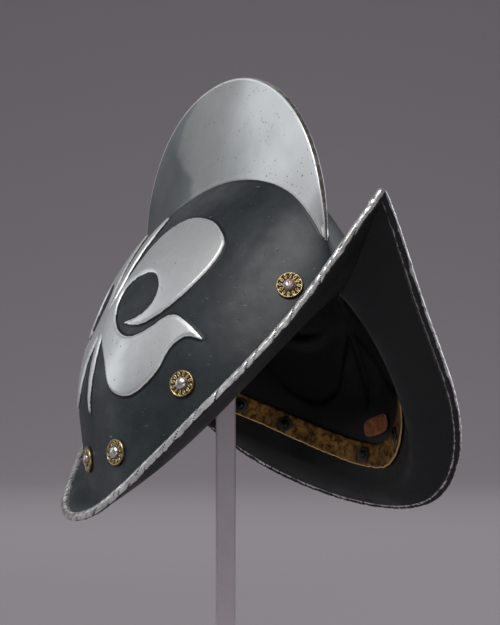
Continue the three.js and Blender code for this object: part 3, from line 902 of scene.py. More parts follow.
@dataclass(frozen=True)
class CombFinish(Finish):
    """Polished steel with pits, greyed towards the rear by painted shade, brightened at the front and along
    its edge by painted highlights, and painted at its root.
    """

    steel: tuple = (0.50, 0.515, 0.515, 1)
    warm: tuple = (0.43, 0.43, 0.415, 1)
    # bright: the colour of the painted highlight on the comb's front.
    bright: tuple = (0.80, 0.81, 0.81, 1)
    # grey: the colour of the painted shade on the comb's rear, standing in for a dark reflection.
    grey: tuple = (0.29, 0.31, 0.31, 1)
    brown: tuple = (0.34, 0.30, 0.25, 1)
    painted_highlight: tuple = (0.96, 0.96, 0.95, 1)
    line: tuple = (0.012, 0.012, 0.013, 1)
    pit: tuple = (0.02, 0.02, 0.02, 1)

    def dress(self, bench: Bench, shader: bpy.types.Node) -> None:
        """Joins steel, pits, the painted shade on the rear, the painted highlights at the front and edge, and
        the painted root.
        """
        place = bench.place()
        clouds = self.clouds(bench, place, 18, self.steel, self.warm)
        strokes = self.strokes(bench, place, (1, 3.0, 0.5))
        low = bench.step(bench.mark("rear_shade_mm"), -50, -105, 0, 1.1)
        near_edge = bench.step(bench.mark("edge_mm"), 5, 45, 1.3, 0.7)
        pits = self.pits(bench, place, 380, bench.math("ADD", near_edge, low))
        drift = bench.math("MULTIPLY", bench.math("SUBTRACT", bench.noise(place, 60, 6, 0.7), 0.5), 26.0)
        rear = bench.math("ADD", bench.mark("rear_shade_mm"), drift)
        # Painted highlight: brightens the comb towards its front.
        ahead = bench.step(rear, -45, -115)
        tone = bench.blend(bench.math("MULTIPLY", ahead, 0.85), clouds.outputs["Colour"], self.bright)
        # Painted shade: greys the comb's rear, standing in for a dark reflection.
        tone = bench.blend(bench.step(rear, -4, 6), tone, self.grey)
        # Painted highlight: a near-white line along the comb's edge.
        tone = bench.blend(bench.step(bench.mark("edge_mm"), 1.9, 0.8), tone, self.painted_highlight)
        stain = bench.step(bench.noise(place, 150, 4, 0.65), 0.36, 0.56, 0.45, 1)
        tone = bench.blend(bench.math("MULTIPLY", bench.mark("brow"), stain), tone, self.brown)
        steel = bench.blend(bench.math("MULTIPLY", pits.outputs["Mask"], 0.85), tone, self.pit)
        tremble = bench.math("SUBTRACT", bench.noise(place, 200, 3), 0.5)
        root = bench.math("ADD", bench.mark("root_mm"), bench.math("MULTIPLY", tremble, 0.5))
        metal = bench.step(root, 0.7, 1.1)
        bench.put(shader.inputs["Base Color"], bench.blend(metal, self.line, steel))
        bench.put(shader.inputs["Metallic"], bench.math("MULTIPLY", metal, 0.97))
        polish = bench.step(clouds.outputs["Share"], 0, 1, 0.36, 0.44)
        bench.put(shader.inputs["Roughness"], bench.lerp(metal, 0.45, polish))
        brushed = bench.math("MULTIPLY", strokes.outputs["Share"], 0.12)
        relief = bench.math("ADD", brushed, pits.outputs["Height"])
        bench.put(shader.inputs["Normal"], bench.bump(relief, 0.22, 0.0005))


@dataclass(frozen=True)
class RimFinish(Finish):
    """Worn steel on the outer half of the roll and ragged black on its inner half."""

    steel: tuple = (0.92, 0.92, 0.90, 1)
    dull: tuple = (0.55, 0.55, 0.54, 1)
    black: tuple = (0.008, 0.008, 0.009, 1)

    def dress(self, bench: Bench, shader: bpy.types.Node) -> None:
        """Joins bright steel, dark cuts and the black underside."""
        place = bench.place()
        clouds = self.clouds(bench, place, 160, self.steel, self.dull)
        pits = self.pits(bench, place, 600, 0.6)
        cut = bench.mark("cut")
        ragged = bench.math("SUBTRACT", bench.noise(place, 120, 5, 0.7), 0.5)
        under = bench.math("ADD", bench.mark("under"), bench.math("MULTIPLY", ragged, 0.9))
        dark = bench.math("MAXIMUM", bench.step(under, 0.7, 0.85), bench.step(cut, 0.25, 0.5))
        dark = bench.math("MAXIMUM", dark, bench.math("MULTIPLY", pits.outputs["Mask"], 0.8))
        bench.put(shader.inputs["Base Color"], bench.blend(dark, clouds.outputs["Colour"], self.black))
        bench.put(shader.inputs["Metallic"], bench.math("SUBTRACT", 0.8, bench.math("MULTIPLY", dark, 0.6)))
        bench.put(shader.inputs["Roughness"], bench.lerp(dark, 0.34, 0.5))
        bench.put(shader.inputs["Normal"], bench.bump(bench.noise(place, 420, 3, 0.6), 0.28, 0.0004))


@dataclass(frozen=True)
class BrassFinish(Finish):
    """Brass with dirt in its hollows and worn bright tops."""

    bright: tuple = (0.66, 0.52, 0.27, 1)
    dull: tuple = (0.36, 0.26, 0.12, 1)
    dirt: tuple = (0.022, 0.017, 0.009, 1)

    def dress(self, bench: Bench, shader: bpy.types.Node) -> None:
        """Joins bright tops and dirty hollows."""
        place = bench.place()
        clouds = self.clouds(bench, place, 300, self.bright, self.dull)
        low = bench.step(bench.mark("top"), 0.12, 0.5, 1, 0)
        bench.put(shader.inputs["Base Color"], bench.blend(low, clouds.outputs["Colour"], self.dirt))
        bench.put(shader.inputs["Metallic"], bench.lerp(low, 1.0, 0.35))
        bench.put(shader.inputs["Roughness"], bench.lerp(low, 0.3, 0.65))
        bench.put(shader.inputs["Normal"], bench.bump(bench.noise(place, 900, 3), 0.3, 0.0002))


@dataclass(frozen=True)
class IronFinish(Finish):
    """Iron rivets, bright on top with rust stains."""

    bright: tuple = (0.68, 0.66, 0.64, 1)
    rust: tuple = (0.30, 0.13, 0.07, 1)
    dark: tuple = (0.03, 0.03, 0.03, 1)
    rust_share: float = 0.2

    def dress(self, bench: Bench, shader: bpy.types.Node) -> None:
        """Joins bright iron, rust and the blackened clenched end."""
        place = bench.place()
        stain = bench.step(bench.noise(place, 420, 4, 0.65), 0.62 - self.rust_share, 0.78 - self.rust_share)
        iron = bench.blend(stain, self.bright, self.rust)
        inner = bench.mark("inner")
        bench.put(shader.inputs["Base Color"], bench.blend(inner, iron, self.dark))
        bench.put(shader.inputs["Metallic"], bench.lerp(stain, 1.0, 0.4))
        bench.put(shader.inputs["Roughness"], bench.lerp(stain, 0.3, 0.6))
        bench.put(shader.inputs["Normal"], bench.bump(bench.noise(place, 700, 4), 0.4, 0.0003))


@dataclass(frozen=True)
class LeatherFinish(Finish):
    """Dry worn leather with a pale frayed edge."""

    light: tuple = (0.44, 0.235, 0.055, 1)
    dark: tuple = (0.05, 0.024, 0.006, 1)
    fray: tuple = (0.75, 0.50, 0.20, 1)

    def dress(self, bench: Bench, shader: bpy.types.Node) -> None:
        """Joins mottled leather, scuffs and the frayed edge."""
        place = bench.place()
        mottle = self.clouds(bench, place, 260, self.light, self.dark)
        broad = bench.step(bench.noise(place, 55, 3), 0.38, 0.62, 0, 0.6)
        shader.inputs["Specular IOR Level"].default_value = 0.2
        skin = bench.blend(broad, mottle.outputs["Colour"], self.dark)
        edge = self.wear(bench, place, bench.mark("edge_mm"), 0.9, 1.4)
        bench.put(shader.inputs["Base Color"], bench.blend(edge, skin, self.fray))
        bench.put(shader.inputs["Roughness"], bench.step(mottle.outputs["Share"], 0, 1, 0.62, 0.82))
        grain = bench.add("ShaderNodeTexVoronoi", feature="F1")
        bench.put(grain.inputs["Vector"], place)
        grain.inputs["Scale"].default_value = 900
        bench.put(shader.inputs["Normal"], bench.bump(grain.outputs["Distance"], 0.35, 0.0004))


@dataclass(frozen=True)
class StandFinish(Finish):
    """Matt grey paint with a faint grain."""

    first: tuple = (0.60, 0.555, 0.60, 1)
    second: tuple = (0.66, 0.61, 0.66, 1)

    def dress(self, bench: Bench, shader: bpy.types.Node) -> None:
        """Joins two near tones and an orange-peel grain."""
        place = bench.place()
        clouds = self.clouds(bench, place, 30, self.first, self.second)
        bench.put(shader.inputs["Base Color"], clouds.outputs["Colour"])
        bench.put(shader.inputs["Roughness"], bench.step(clouds.outputs["Share"], 0, 1, 0.5, 0.58))
        bench.put(shader.inputs["Normal"], bench.bump(bench.noise(place, 700, 2), 0.12, 0.0003))


@dataclass
class Plate:
    """Bowl and brim as one thin plate, with the lily raised outside and sunk inside."""

    skin: Skin
    lily: Lily
    outer_columns: int = 840
    inner_columns: int = 420
    brim_rows: int = 32
    bowl_rows: int = 184
    inner_brim_rows: int = 20
    inner_bowl_rows: int = 110
    relief: float = 1.4
    reverse: float = 1.3
    relief_slope: float = 0.55
    reverse_slope: float = 1.4
    groove_depth: float = 0.3
    dents: float = 0.22

    def climbs(self, brim_rows: int, bowl_rows: int) -> Array:
        """Climbs of the rows, closer together just above the bend."""
        low = np.arange(brim_rows) / brim_rows
        high = 1 + (np.arange(bowl_rows) / bowl_rows) ** 1.12
        return np.concatenate([low, high])

    def side(self, columns: int, climbs: Array, inner: bool) -> tuple[Array, Array, Array]:
        """One face of the plate.

        Args:
            columns: points round each row.
            climbs: climb of each row.
            inner: whether it is the inner face.

        Returns:
            Points, lily distances and distances from the edge, by row and column.
        """
        turn = np.arange(columns) / columns * 2 * np.pi
        base = self.skin.point(turn[None, :], climbs[:, None])
        normal = self.skin.normal(turn[None, :], climbs[:, None])
        lily = self.lily.distance(base.reshape(-1, 3), normal.reshape(-1, 3)).reshape(base.shape[:2])
        lily = np.where(climbs[:, None] > 1, lily, -50)
        if inner:
            out = -self.skin.sheet + self.reverse * smooth_step(-self.reverse_slope, self.reverse_slope, lily)
        else:
            out = self.relief * smooth_step(-self.relief_slope, self.relief_slope, lily)
            out -= self.groove_depth * np.exp(-(((lily + 1.4) / 0.7) ** 2))
            out += self.dents * uneven(base, 26) + 0.3 * self.dents * uneven(base, 7, 5.0)
        lengths = np.linalg.norm(np.diff(base, axis=0), axis=-1)
        away = np.concatenate([np.zeros((1, columns)), np.cumsum(lengths, 0)])
        points = base + out[..., None] * normal
        crossed = points[..., 0] * base[..., 0] < 0
        points[..., 0] = np.where(crossed, 0, points[..., 0])
        return points, lily, away

    def build(self, outside: bpy.types.Material, inside: bpy.types.Material) -> None:
        """Makes the plate.

        Args:
            outside: finish of the outer face.
            inside: finish of the inner face.
        """
        climbs = self.climbs(self.brim_rows, self.bowl_rows)
        points, lily, away = self.side(self.outer_columns, climbs, False)
        inner_climbs = self.climbs(self.inner_brim_rows, self.inner_bowl_rows)
        inner, inner_lily, inner_away = self.side(self.inner_columns, inner_climbs, True)
        crown = np.array([[0, self.skin.set_back, self.skin.crown]])
        for name, side, marks, material, flip in (
            ("plate_outside", points, (lily, away), outside, False),
            ("plate_inside", inner, (inner_lily, inner_away), inside, True),
        ):
            rows, columns = side.shape[:2]
            quads = grid_quads(rows, columns)
            last = (rows - 1) * columns
            cap = fan(range(last, last + columns), rows * columns)
            drop = self.skin.sheet if flip else 0
            cloud = np.concatenate([side.reshape(-1, 3), crown - (0, 0, drop)])
            for flank in Side:
                left = flank is Side.LEFT
                own = (quads[:, 0] % columns < columns // 2) == left
                own_cap = (cap[:, 0] % columns < columns // 2) == left
                faces, ends = quads[own], cap[own_cap]
                used = np.unique(np.concatenate([faces.ravel(), ends.ravel()]))
                number = np.zeros(len(cloud), int)
                number[used] = np.arange(len(used))
                faces, ends = number[faces], number[ends]
                lily_mm, edge_mm = np.append(marks[0], -50), np.append(marks[1], 300)
                piece = Piece(
                    f"{name}_{flank.name.lower()}",
                    self.skin.to_row(cloud[used]),
                    faces[:, ::-1] if flip else faces,
                    ends[:, ::-1] if flip else ends,
                    {"lily_mm": lily_mm[used], "edge_mm": edge_mm[used]},
                )
                piece.make(material, "black_paint", "skull")


@dataclass
class Comb:
    """Tall comb, fanned out from a point inside the bowl."""

    skin: Skin
    half_length: float = 111.5
    half_height: float = 101.5
    centre_height: float = 162
    forward: float = 3
    roundness: float = 2.1
    edge_thickness: float = 4
    root_thickness: float = 8
    wedge: float = 9
    fillet: float = 1.6
    fillet_height: float = 2.2
    edge_round: float = 0.8
    arms: int = 360
    face_steps: int = 26
    fillet_steps: int = 12
    rear_shade_at: float = 40
    rear_shade_height: float = 238
    brow_from: float = -38

    def edge(self, angle: Array) -> Array:
        """The comb's edge in the middle plane."""
        power = 2 / self.roundness
        cosine, sine = np.cos(angle), np.sin(angle)
        y = -self.forward - self.half_length * np.sign(cosine) * np.abs(cosine) ** power
        z = self.centre_height + self.half_height * np.sign(sine) * np.abs(sine) ** power
        return np.stack([0 * y, y, z], -1)

    def arm(self, angle: Array) -> tuple[Array, Array, Array]:
        """Direction from the fan point to the edge, its length and the bowl's distance."""
        arm = self.edge(angle) - np.array((0, self.skin.set_back, self.skin.wall_top))
        full = np.linalg.norm(arm, axis=-1)
        direction = arm / full[..., None]
        return direction, full, self.skin.reach(np.zeros(full.shape), direction)

    def end(self, above: float, below: float) -> float:
        """Angle at which the edge dives into the bowl."""
        for _ in range(40):
            middle = (above + below) / 2
            _, full, root = self.arm(np.array([middle]))
            if full[0] - root[0] > -self.skin.sheet / 2:
                above = middle
            else:
                below = middle
        return above

    def build(self, material: bpy.types.Material) -> None:
        """Makes the comb."""
        angle = np.linspace(self.end(np.pi / 2, -np.pi / 4), self.end(np.pi / 2, np.pi * 1.25), self.arms)
        direction, full, root = self.arm(angle)
        stand = np.maximum(full - root, 0)
        wedge = self.wedge * smooth_step(6, 58, stand)
        fillet = np.clip(stand / 2, self.skin.sheet / 10, self.fillet)
        rising = np.clip(stand * 0.6, self.skin.sheet / 10, self.fillet_height)
        thin = 0.45 + 0.55 * smooth_step(0, 16, stand)
        top = np.maximum(full, root - self.skin.sheet / 2)
        ground = self.skin.reach(self.root_thickness / 2 * thin + wedge, direction)
        foot = np.minimum(ground + rising, top)
        edge_round = np.minimum(self.edge_round, np.maximum(top - foot, 0.01) / 2)
        half: list[tuple[Array, Array]] = []
        flat = self.edge_thickness / 2 - self.edge_round
        stain, climb = [], []
        for share in np.linspace(0, 1, 3):
            half.append((flat * share * thin, top + 0 * full))
            stain.append(1.0)
            climb.append(50 + 0 * full)
        for share in np.linspace(0, np.pi / 2, 5)[1:]:
            across = (flat + self.edge_round * np.sin(share)) * thin
            half.append((across, top - edge_round * (1 - np.cos(share))))
            stain.append(0.0)
            climb.append(50 + 0 * full)
        for share in np.linspace(0, 1, self.face_steps)[1:]:
            across = self.edge_thickness / 2 + (self.root_thickness - self.edge_thickness) / 2 * share
            across = across * thin + wedge * share**1.25
            half.append((across, (top - edge_round) * (1 - share) + foot * share))
            stain.append(0.0)
            climb.append((top - edge_round - foot) * (1 - share) + rising)
        for step in range(1, self.fillet_steps + 1):
            bow = step / self.fillet_steps * np.pi / 2
            across = self.root_thickness / 2 * thin + wedge + fillet * (1 - np.cos(bow))
            ground = self.skin.reach(across, direction)
            half.append((across, np.minimum(ground + rising * (1 - np.sin(bow)), foot)))
            stain.append(0.0)
            climb.append(rising * (1 - np.sin(bow)) + fillet * (1 - bow / (np.pi / 2)) * 0.5)
        across, low = half[-1]
        half.append((across, np.minimum(low, self.skin.reach(across, direction)) - self.skin.sheet / 2))
        stain.append(0.0)
        climb.append(-1 + 0 * full)
        x = np.stack([item[0] for item in half], 1)
        distance = np.stack([item[1] for item in half], 1)
        x = np.concatenate([x, -x[:, :0:-1]], 1)
        distance = np.concatenate([distance, distance[:, :0:-1]], 1)
        fan_point = np.array((0, self.skin.set_back, self.skin.wall_top))
        points = fan_point + direction[:, None] * distance[..., None]
        points[..., 0] = x
        columns = points.shape[1]
        bump = 0.12 * uneven(points, 22, 9.0) * np.sign(x)
        points[..., 0] += bump
        quads = grid_quads(self.arms, columns)
        ends = np.stack([points[0].mean(0), points[-1].mean(0)])
        cloud = np.concatenate([points.reshape(-1, 3), ends])
        count = self.arms * columns
        caps = np.concatenate([
            fan(range(columns), count)[:, ::-1],
            fan(range(count - columns, count), count + 1),
        ])
        climb = np.stack(climb, 1)
        brow = smooth_step(self.brow_from, self.brow_from - 25, points[..., 1][:, :1])
        stain = np.array(stain)[None] * brow
        # Border of the painted shade on the comb's rear, bending with height. The painted highlight on the
        # front is measured from it too.
        above = points[..., 2] - self.rear_shade_height
        bend = np.where(above > 0, 0.054, 0.035) * above**2
        shade_border = np.where(above > 0, self.rear_shade_at - bend, np.maximum(self.rear_shade_at - bend, 15))
        marks = {
            "root_mm": np.concatenate([climb, climb[:, :0:-1]], 1),
            "edge_mm": full[:, None] - distance,
            "rear_shade_mm": points[..., 1] - shade_border,
            "brow": np.concatenate([stain, stain[:, :0:-1]], 1),
        }
        marks = {name: np.append(values.ravel(), (0, 0)) for name, values in marks.items()}
        piece = Piece("comb", self.skin.to_row(cloud), quads, caps, marks)
        piece.make(material, "bright_steel", "skull")


@dataclass
class Rim:
    """Roll turned over the brim's edge, with slanting cuts."""

    skin: Skin
    radius: float = 2.6
    steps: int = 1500
    sides: int = 20
    cut_spacing: float = 8.0
    cut_depth: float = 0.7
    dent: float = 0.2
    lap: float = 0.45
    lap_length: float = 9.0

    def build(self, material: bpy.types.Material) -> None:
        """Makes the roll."""
        turn = np.arange(self.steps) / self.steps * 2 * np.pi
        centre = self.skin.edge(turn)
        inward = self.skin.point(turn, 0.1) - centre
        inward /= np.linalg.norm(inward, axis=-1, keepdims=True)
        tangent = self.skin.edge(turn + 0.01) - self.skin.edge(turn - 0.01)
        tangent /= np.linalg.norm(tangent, axis=-1, keepdims=True)
        under = np.cross(inward, tangent)
        under /= np.linalg.norm(under, axis=-1, keepdims=True)
        out = np.cross(under, tangent)
        along = np.concatenate([[0], np.cumsum(np.linalg.norm(np.diff(centre, axis=0), axis=-1))])
        angle = np.arange(self.sides) / self.sides * 2 * np.pi
        path = np.stack([along, 0 * along, 0 * along], -1)
        drift = uneven(path, 21)
        phase = along / self.cut_spacing + 1.1 * drift
        phase = phase[:, None] + 0.55 * np.sin(angle)[None, :]
        strength = np.clip(0.65 + 0.9 * uneven(path, 8, 3.0), 0, 1)
        cut = np.exp(-(((phase % 1 - 0.5) / 0.085) ** 2)) * strength[:, None]
        to_rear = np.abs(turn - np.pi)[:, None]
        rear = smooth_step(0.55, 0.3, to_rear)
        cut = np.maximum(cut, 0.38 * rear)
        ring = np.stack([
            along[:, None] + 0 * angle,
            3 * np.cos(angle) + 0 * along[:, None],
            3 * np.sin(angle) + 0 * along[:, None],
        ], -1)
        radius = self.radius - self.cut_depth * cut * (1 - rear) + self.dent * uneven(ring, 4.5, 2.0)
        to_tip = (along[-1] - along)[:, None]
        radius += self.lap * smooth_step(self.lap_length, self.lap_length - 0.8, to_tip) - 0.5 * rear
        points = (
            centre[:, None]
            + (radius * np.cos(angle))[..., None] * out[:, None]
            + (radius * np.sin(angle))[..., None] * under[:, None]
        )
        quads = grid_quads(self.steps, self.sides, close_rows=True)
        marks = {"cut": cut.ravel(), "under": np.broadcast_to(np.sin(angle), cut.shape).ravel()}
        Piece("turned_rim", self.skin.to_row(points.reshape(-1, 3)), quads, marks=marks).make(
            material, "bright_steel", "skull"
        )


# Degrees from the front peak. A fit to the photograph gave eight of them, and the rest are chosen.
RIVET_TURNS = {
    Side.RIGHT: (25, 57, 82, 105, 137, 160),
    Side.LEFT: (25, 54, 76, 101, 130, 144),
}


@dataclass
class Riveting:
    """Rosettes, rivets and inner washers through wall and band."""

    skin: Skin
    gap: float = 0.3
    band_stand_off: float = 1.1
    band_thickness: float = 1.5
    shank: float = 1.6
    head_radius: float = 3.8
    head_height: float = 2.4
    clench_radius: float = 2.6
    clench_height: float = 1.0
    rosette_radius: float = 8.0
    rosette_thickness: float = 1.2
    rosette_rim: float = 0.6
    washer_radius: float = 4.7
    washer_thickness: float = 0.8
    tightest_wall: float = 30.0
    loops: int = 12

    @property
    def washer_end(self) -> float:
        """Distance of the inner washer's far face from the outer skin."""
        seat = -self.skin.sheet - self.band_stand_off - self.band_thickness - self.gap
        return seat - self.washer_radius**2 / (2 * self.tightest_wall) - self.washer_thickness

    def spin(self, seat: Seat, radius: Array, height: Array, turn: Array) -> Array:
        """Points of a turned shape on its seat, by row and column."""
        across = radius * np.cos(turn)
        along = radius * np.sin(turn)
        return seat.spread(across, along, height + 0 * across)

    def rosette(self, name: str, seat: Seat, material: bpy.types.Material, seed: float) -> None:
        """Brass washer with a raised rim, a ring of loops and dots between them."""
        columns = 168
        turn = (np.arange(columns) / columns * 2 * np.pi)[None, :]
        hole = self.shank + self.gap
        radii = np.linspace(hole, self.rosette_radius * 0.985, 26)[:, None]
        x, y = radii * np.cos(turn), radii * np.sin(turn)
        top = np.exp(-(((radii - 7.35) / 0.42) ** 2)) + 0 * turn
        top += 0.5 * np.exp(-(((radii - 3.75) / 0.3) ** 2))
        for index in range(self.loops):
            angle = (index + seed) / self.loops * 2 * np.pi
            outward = x * math.cos(angle) + y * math.sin(angle) - 5.6
            sideways = y * math.cos(angle) - x * math.sin(angle)
            away = np.hypot(outward / 1.55, sideways / 1.05)
            top = np.maximum(top, 0.95 * np.exp(-(((away - 0.72) / 0.22) ** 2)))
            top = np.maximum(top, 0.7 * np.exp(-((away / 0.28) ** 2)))
        lift = self.rosette_thickness + self.rosette_rim * top - 0.1
        face = self.spin(seat, radii + 0 * turn, self.gap + lift, turn)
        skirt = self.spin(seat, np.array([[1.0], [1.0], [0.98]]) * self.rosette_radius + 0 * turn,
                          self.gap + np.array([[0.95], [0.2], [0.0]]), turn)
        back = self.spin(seat, np.array([[hole]]) + 0 * turn, self.gap + np.array([[0.0]]), turn)
        points = np.concatenate([face, skirt, back])
        marks = {"top": np.concatenate([top, np.array([[0.9], [0.3], [0], [0]]) + 0 * turn]).ravel()}
        quads = grid_quads(points.shape[0], columns, close_rows=True)
        piece = Piece(name + "_worn", self.skin.to_row(points.reshape(-1, 3)), quads[:, ::-1], marks=marks)
        piece.make(material, "brass", name)

    def rivet(self, name: str, seat: Seat, material: bpy.types.Material, seed: float) -> None:
        """Domed rivet, clenched inside."""
        columns = 32
        turn = (np.arange(columns) / columns * 2 * np.pi)[None, :]
        head = self.gap + self.rosette_thickness + self.gap
        end = self.washer_end - self.gap
        profile = [(0.35, end - self.clench_height),
                   (self.clench_radius * 0.75, end - self.clench_height * 0.92),
                   (self.clench_radius, end - 0.25), (self.clench_radius * 0.96, end),
                   (self.shank, end), (self.shank, head), (self.head_radius * 0.97, head),
                   (self.head_radius, head + 0.25)]
        for share in np.linspace(0.12, 0.94, 12):
            bow = share * np.pi / 2
            rise = (self.head_height - 0.3) * math.sin(bow)
            profile.append((self.head_radius * math.cos(bow), head + 0.25 + rise))
        radii = np.array([item[0] for item in profile])[:, None]
        heights = np.array([item[1] for item in profile])[:, None] + 0 * turn
        points = self.spin(seat, radii + 0 * turn, heights, turn)
        outer = (heights > head)[..., None]
        points = points + outer * (0.09 * uneven(points, 2.2, seed))[..., None] * seat.normal
        rows = len(profile)
        ends = np.array([[end - self.clench_height], [head + self.head_height]])
        poles = self.spin(seat, np.zeros((2, 1)), ends, np.zeros((2, 1)))
        cloud = np.concatenate([points.reshape(-1, 3), poles.reshape(-1, 3)])
        count = rows * columns
        caps = np.concatenate([
            fan(range(columns), count)[:, ::-1],
            fan(range(count - columns, count), count + 1),
        ])
        inner = np.append((heights < 0).ravel(), (True, False))
        piece = Piece(name + "_worn", self.skin.to_row(cloud), grid_quads(rows, columns), caps,
                      {"inner": inner.astype(float)})
        piece.make(material, "bright_steel", name)

    def washer(self, name: str, seat: Seat, material: bpy.types.Material, seed: float) -> None:
        """Small dished plate under the clenched end."""
        columns = 40
        turn = (np.arange(columns) / columns * 2 * np.pi)[None, :]
        hole, radius, thick = self.shank + self.gap, self.washer_radius, self.washer_thickness
        profile = [(hole, thick), (hole, 0.15), (hole + 0.3, 0.0), (radius * 0.6, 0.05), (radius * 0.9, 0.12),
                   (radius, 0.35), (radius, thick), (radius * 0.7, thick)]
        radii = np.array([item[0] for item in profile])[:, None]
        wobble = 1 + 0.02 * np.sin(3 * turn + seed)
        heights = self.washer_end + np.array([item[1] for item in profile])[:, None] + 0 * turn
        points = self.spin(seat, np.minimum(radii * wobble, radius), heights, turn)
        quads = grid_quads(len(profile), columns, close_rows=True)
        piece = Piece(name + "_worn", self.skin.to_row(points.reshape(-1, 3)), quads)
        piece.make(material, "dark_steel", name)

    def build(self, brass: bpy.types.Material, irons: tuple, dark: bpy.types.Material) -> None:
        """Makes every riveted stack.

        Args:
            brass: finish of the rosettes.
            irons: finishes of the rivets, taken in turn.
            dark: finish of the inner washers.
        """
        for side, turns in RIVET_TURNS.items():
            for index, degrees in enumerate(turns):
                turn = math.radians(side.value * degrees)
                seat = self.skin.seat(turn, self.skin.line(turn))
                mark = f"{side.name.lower()}_{index + 1}"
                seed = index * 1.7 + side.value * 0.4
                self.rosette(f"rosette_{mark}", seat, brass, seed)
                self.rivet(f"rivet_{mark}", seat, irons[index % len(irons)], seed)
                self.washer(f"inner_washer_{mark}", seat, dark, seed)


@dataclass
class LiningBand:
    """Worn strip of leather on the line of the rivets."""

    skin: Skin
    half_width: float = 8
    thickness: float = 1.5
    stand_off: float = 1.1
    columns: int = 900
    rows: int = 14
    ragged: float = 0.9

    def build(self, material: bpy.types.Material) -> None:
        """Makes the band."""
        turn = np.arange(self.columns) / self.columns * 2 * np.pi
        path = self.skin.point(turn, 1.1)
        middle = self.skin.line(turn)
        bites = np.clip(uneven(path, 5, 1.0) + uneven(path, 1.7, 4.0), 0, 1.5)
        low = middle - self.half_width + self.ragged * bites
        high = middle + self.half_width - 0.5 * np.clip(uneven(path, 9, 7.0), 0, 1)
        share = np.linspace(0, 1, self.rows)[:, None]
        height = low + (high - low) * share
        climb = self.skin.climb(turn, height)
        base, normal = self.skin.point(turn[None], climb), self.skin.normal(turn[None], climb)
        back = -self.skin.sheet - self.stand_off
        wave = 0.25 * uneven(base, 14, 2.0) + 0.1 * uneven(base, 4, 6.0)
        face = back - self.thickness + 0.35 + wave
        round_ = 0.35 * (np.abs(share * 2 - 1) ** 6)
        inner = base + (face + round_)[..., None] * normal
        outer = base + (back - 0.1 + 0 * face)[..., None] * normal
        points = np.concatenate([inner, outer[::-1]])
        away = np.minimum(height - low, high - height)
        top_fade = np.where(share > 0.5, 1.6, 0.0)
        edge = np.concatenate([away + top_fade, (away + top_fade)[::-1]])
        quads = grid_quads(2 * self.rows, self.columns, close_rows=True)
        Piece("band_leather", self.skin.to_row(points.reshape(-1, 3)), quads[:, ::-1],
              marks={"edge_mm": edge.ravel()}).make(material, "lining_leather", "lining_band")


@dataclass
class Patch:
    """Small leather patch inside the wearer's left flank."""

    skin: Skin
    length: float = 26
    width: float = 12
    thickness: float = 1.2
    turn: float = 92
    height: float = 51
    stand_off: float = 1.1
    squareness: float = 0.6
    rings: int = 9
    columns: int = 72

    def build(self, material: bpy.types.Material) -> None:
        """Makes the patch."""
        start, nudge = math.radians(self.turn), 0.01
        before, after = (self.skin.seat(start + way * nudge, self.height).place for way in (-1, 1))
        per_length = 2 * nudge / np.linalg.norm(after - before)
        angle = np.arange(self.columns) / self.columns * 2 * np.pi
        square_x = np.sign(np.cos(angle)) * np.abs(np.cos(angle)) ** self.squareness
        square_y = np.sign(np.sin(angle)) * np.abs(np.sin(angle)) ** self.squareness
        back = -self.skin.sheet - self.stand_off
        rings = np.linspace(0.02, 0.99, self.rings)
        profile = [(share, back - self.thickness * (1 - share**8)) for share in rings]
        profile += [(1.0, back - 0.2), (0.98, back), (0.02, back)]
        shares = np.array([item[0] for item in profile])[:, None]
        depth = np.array([item[1] for item in profile])[:, None] + 0 * angle
        turn = start + self.length / 2 * shares * square_x * per_length
        height = self.height + self.width / 2 * shares * square_y
        climb = self.skin.climb(turn, height)
        base, normal = self.skin.point(turn, climb), self.skin.normal(turn, climb)
        points = base + depth[..., None] * normal
        edge = (1 - shares) * self.width / 2 + 1.2 + 0 * angle
        quads = grid_quads(len(profile), self.columns, close_rows=True)
        Piece("patch_worn", self.skin.to_row(points.reshape(-1, 3)), quads,
              marks={"edge_mm": edge.ravel()}).make(material, "patch_leather", "leather_patch")


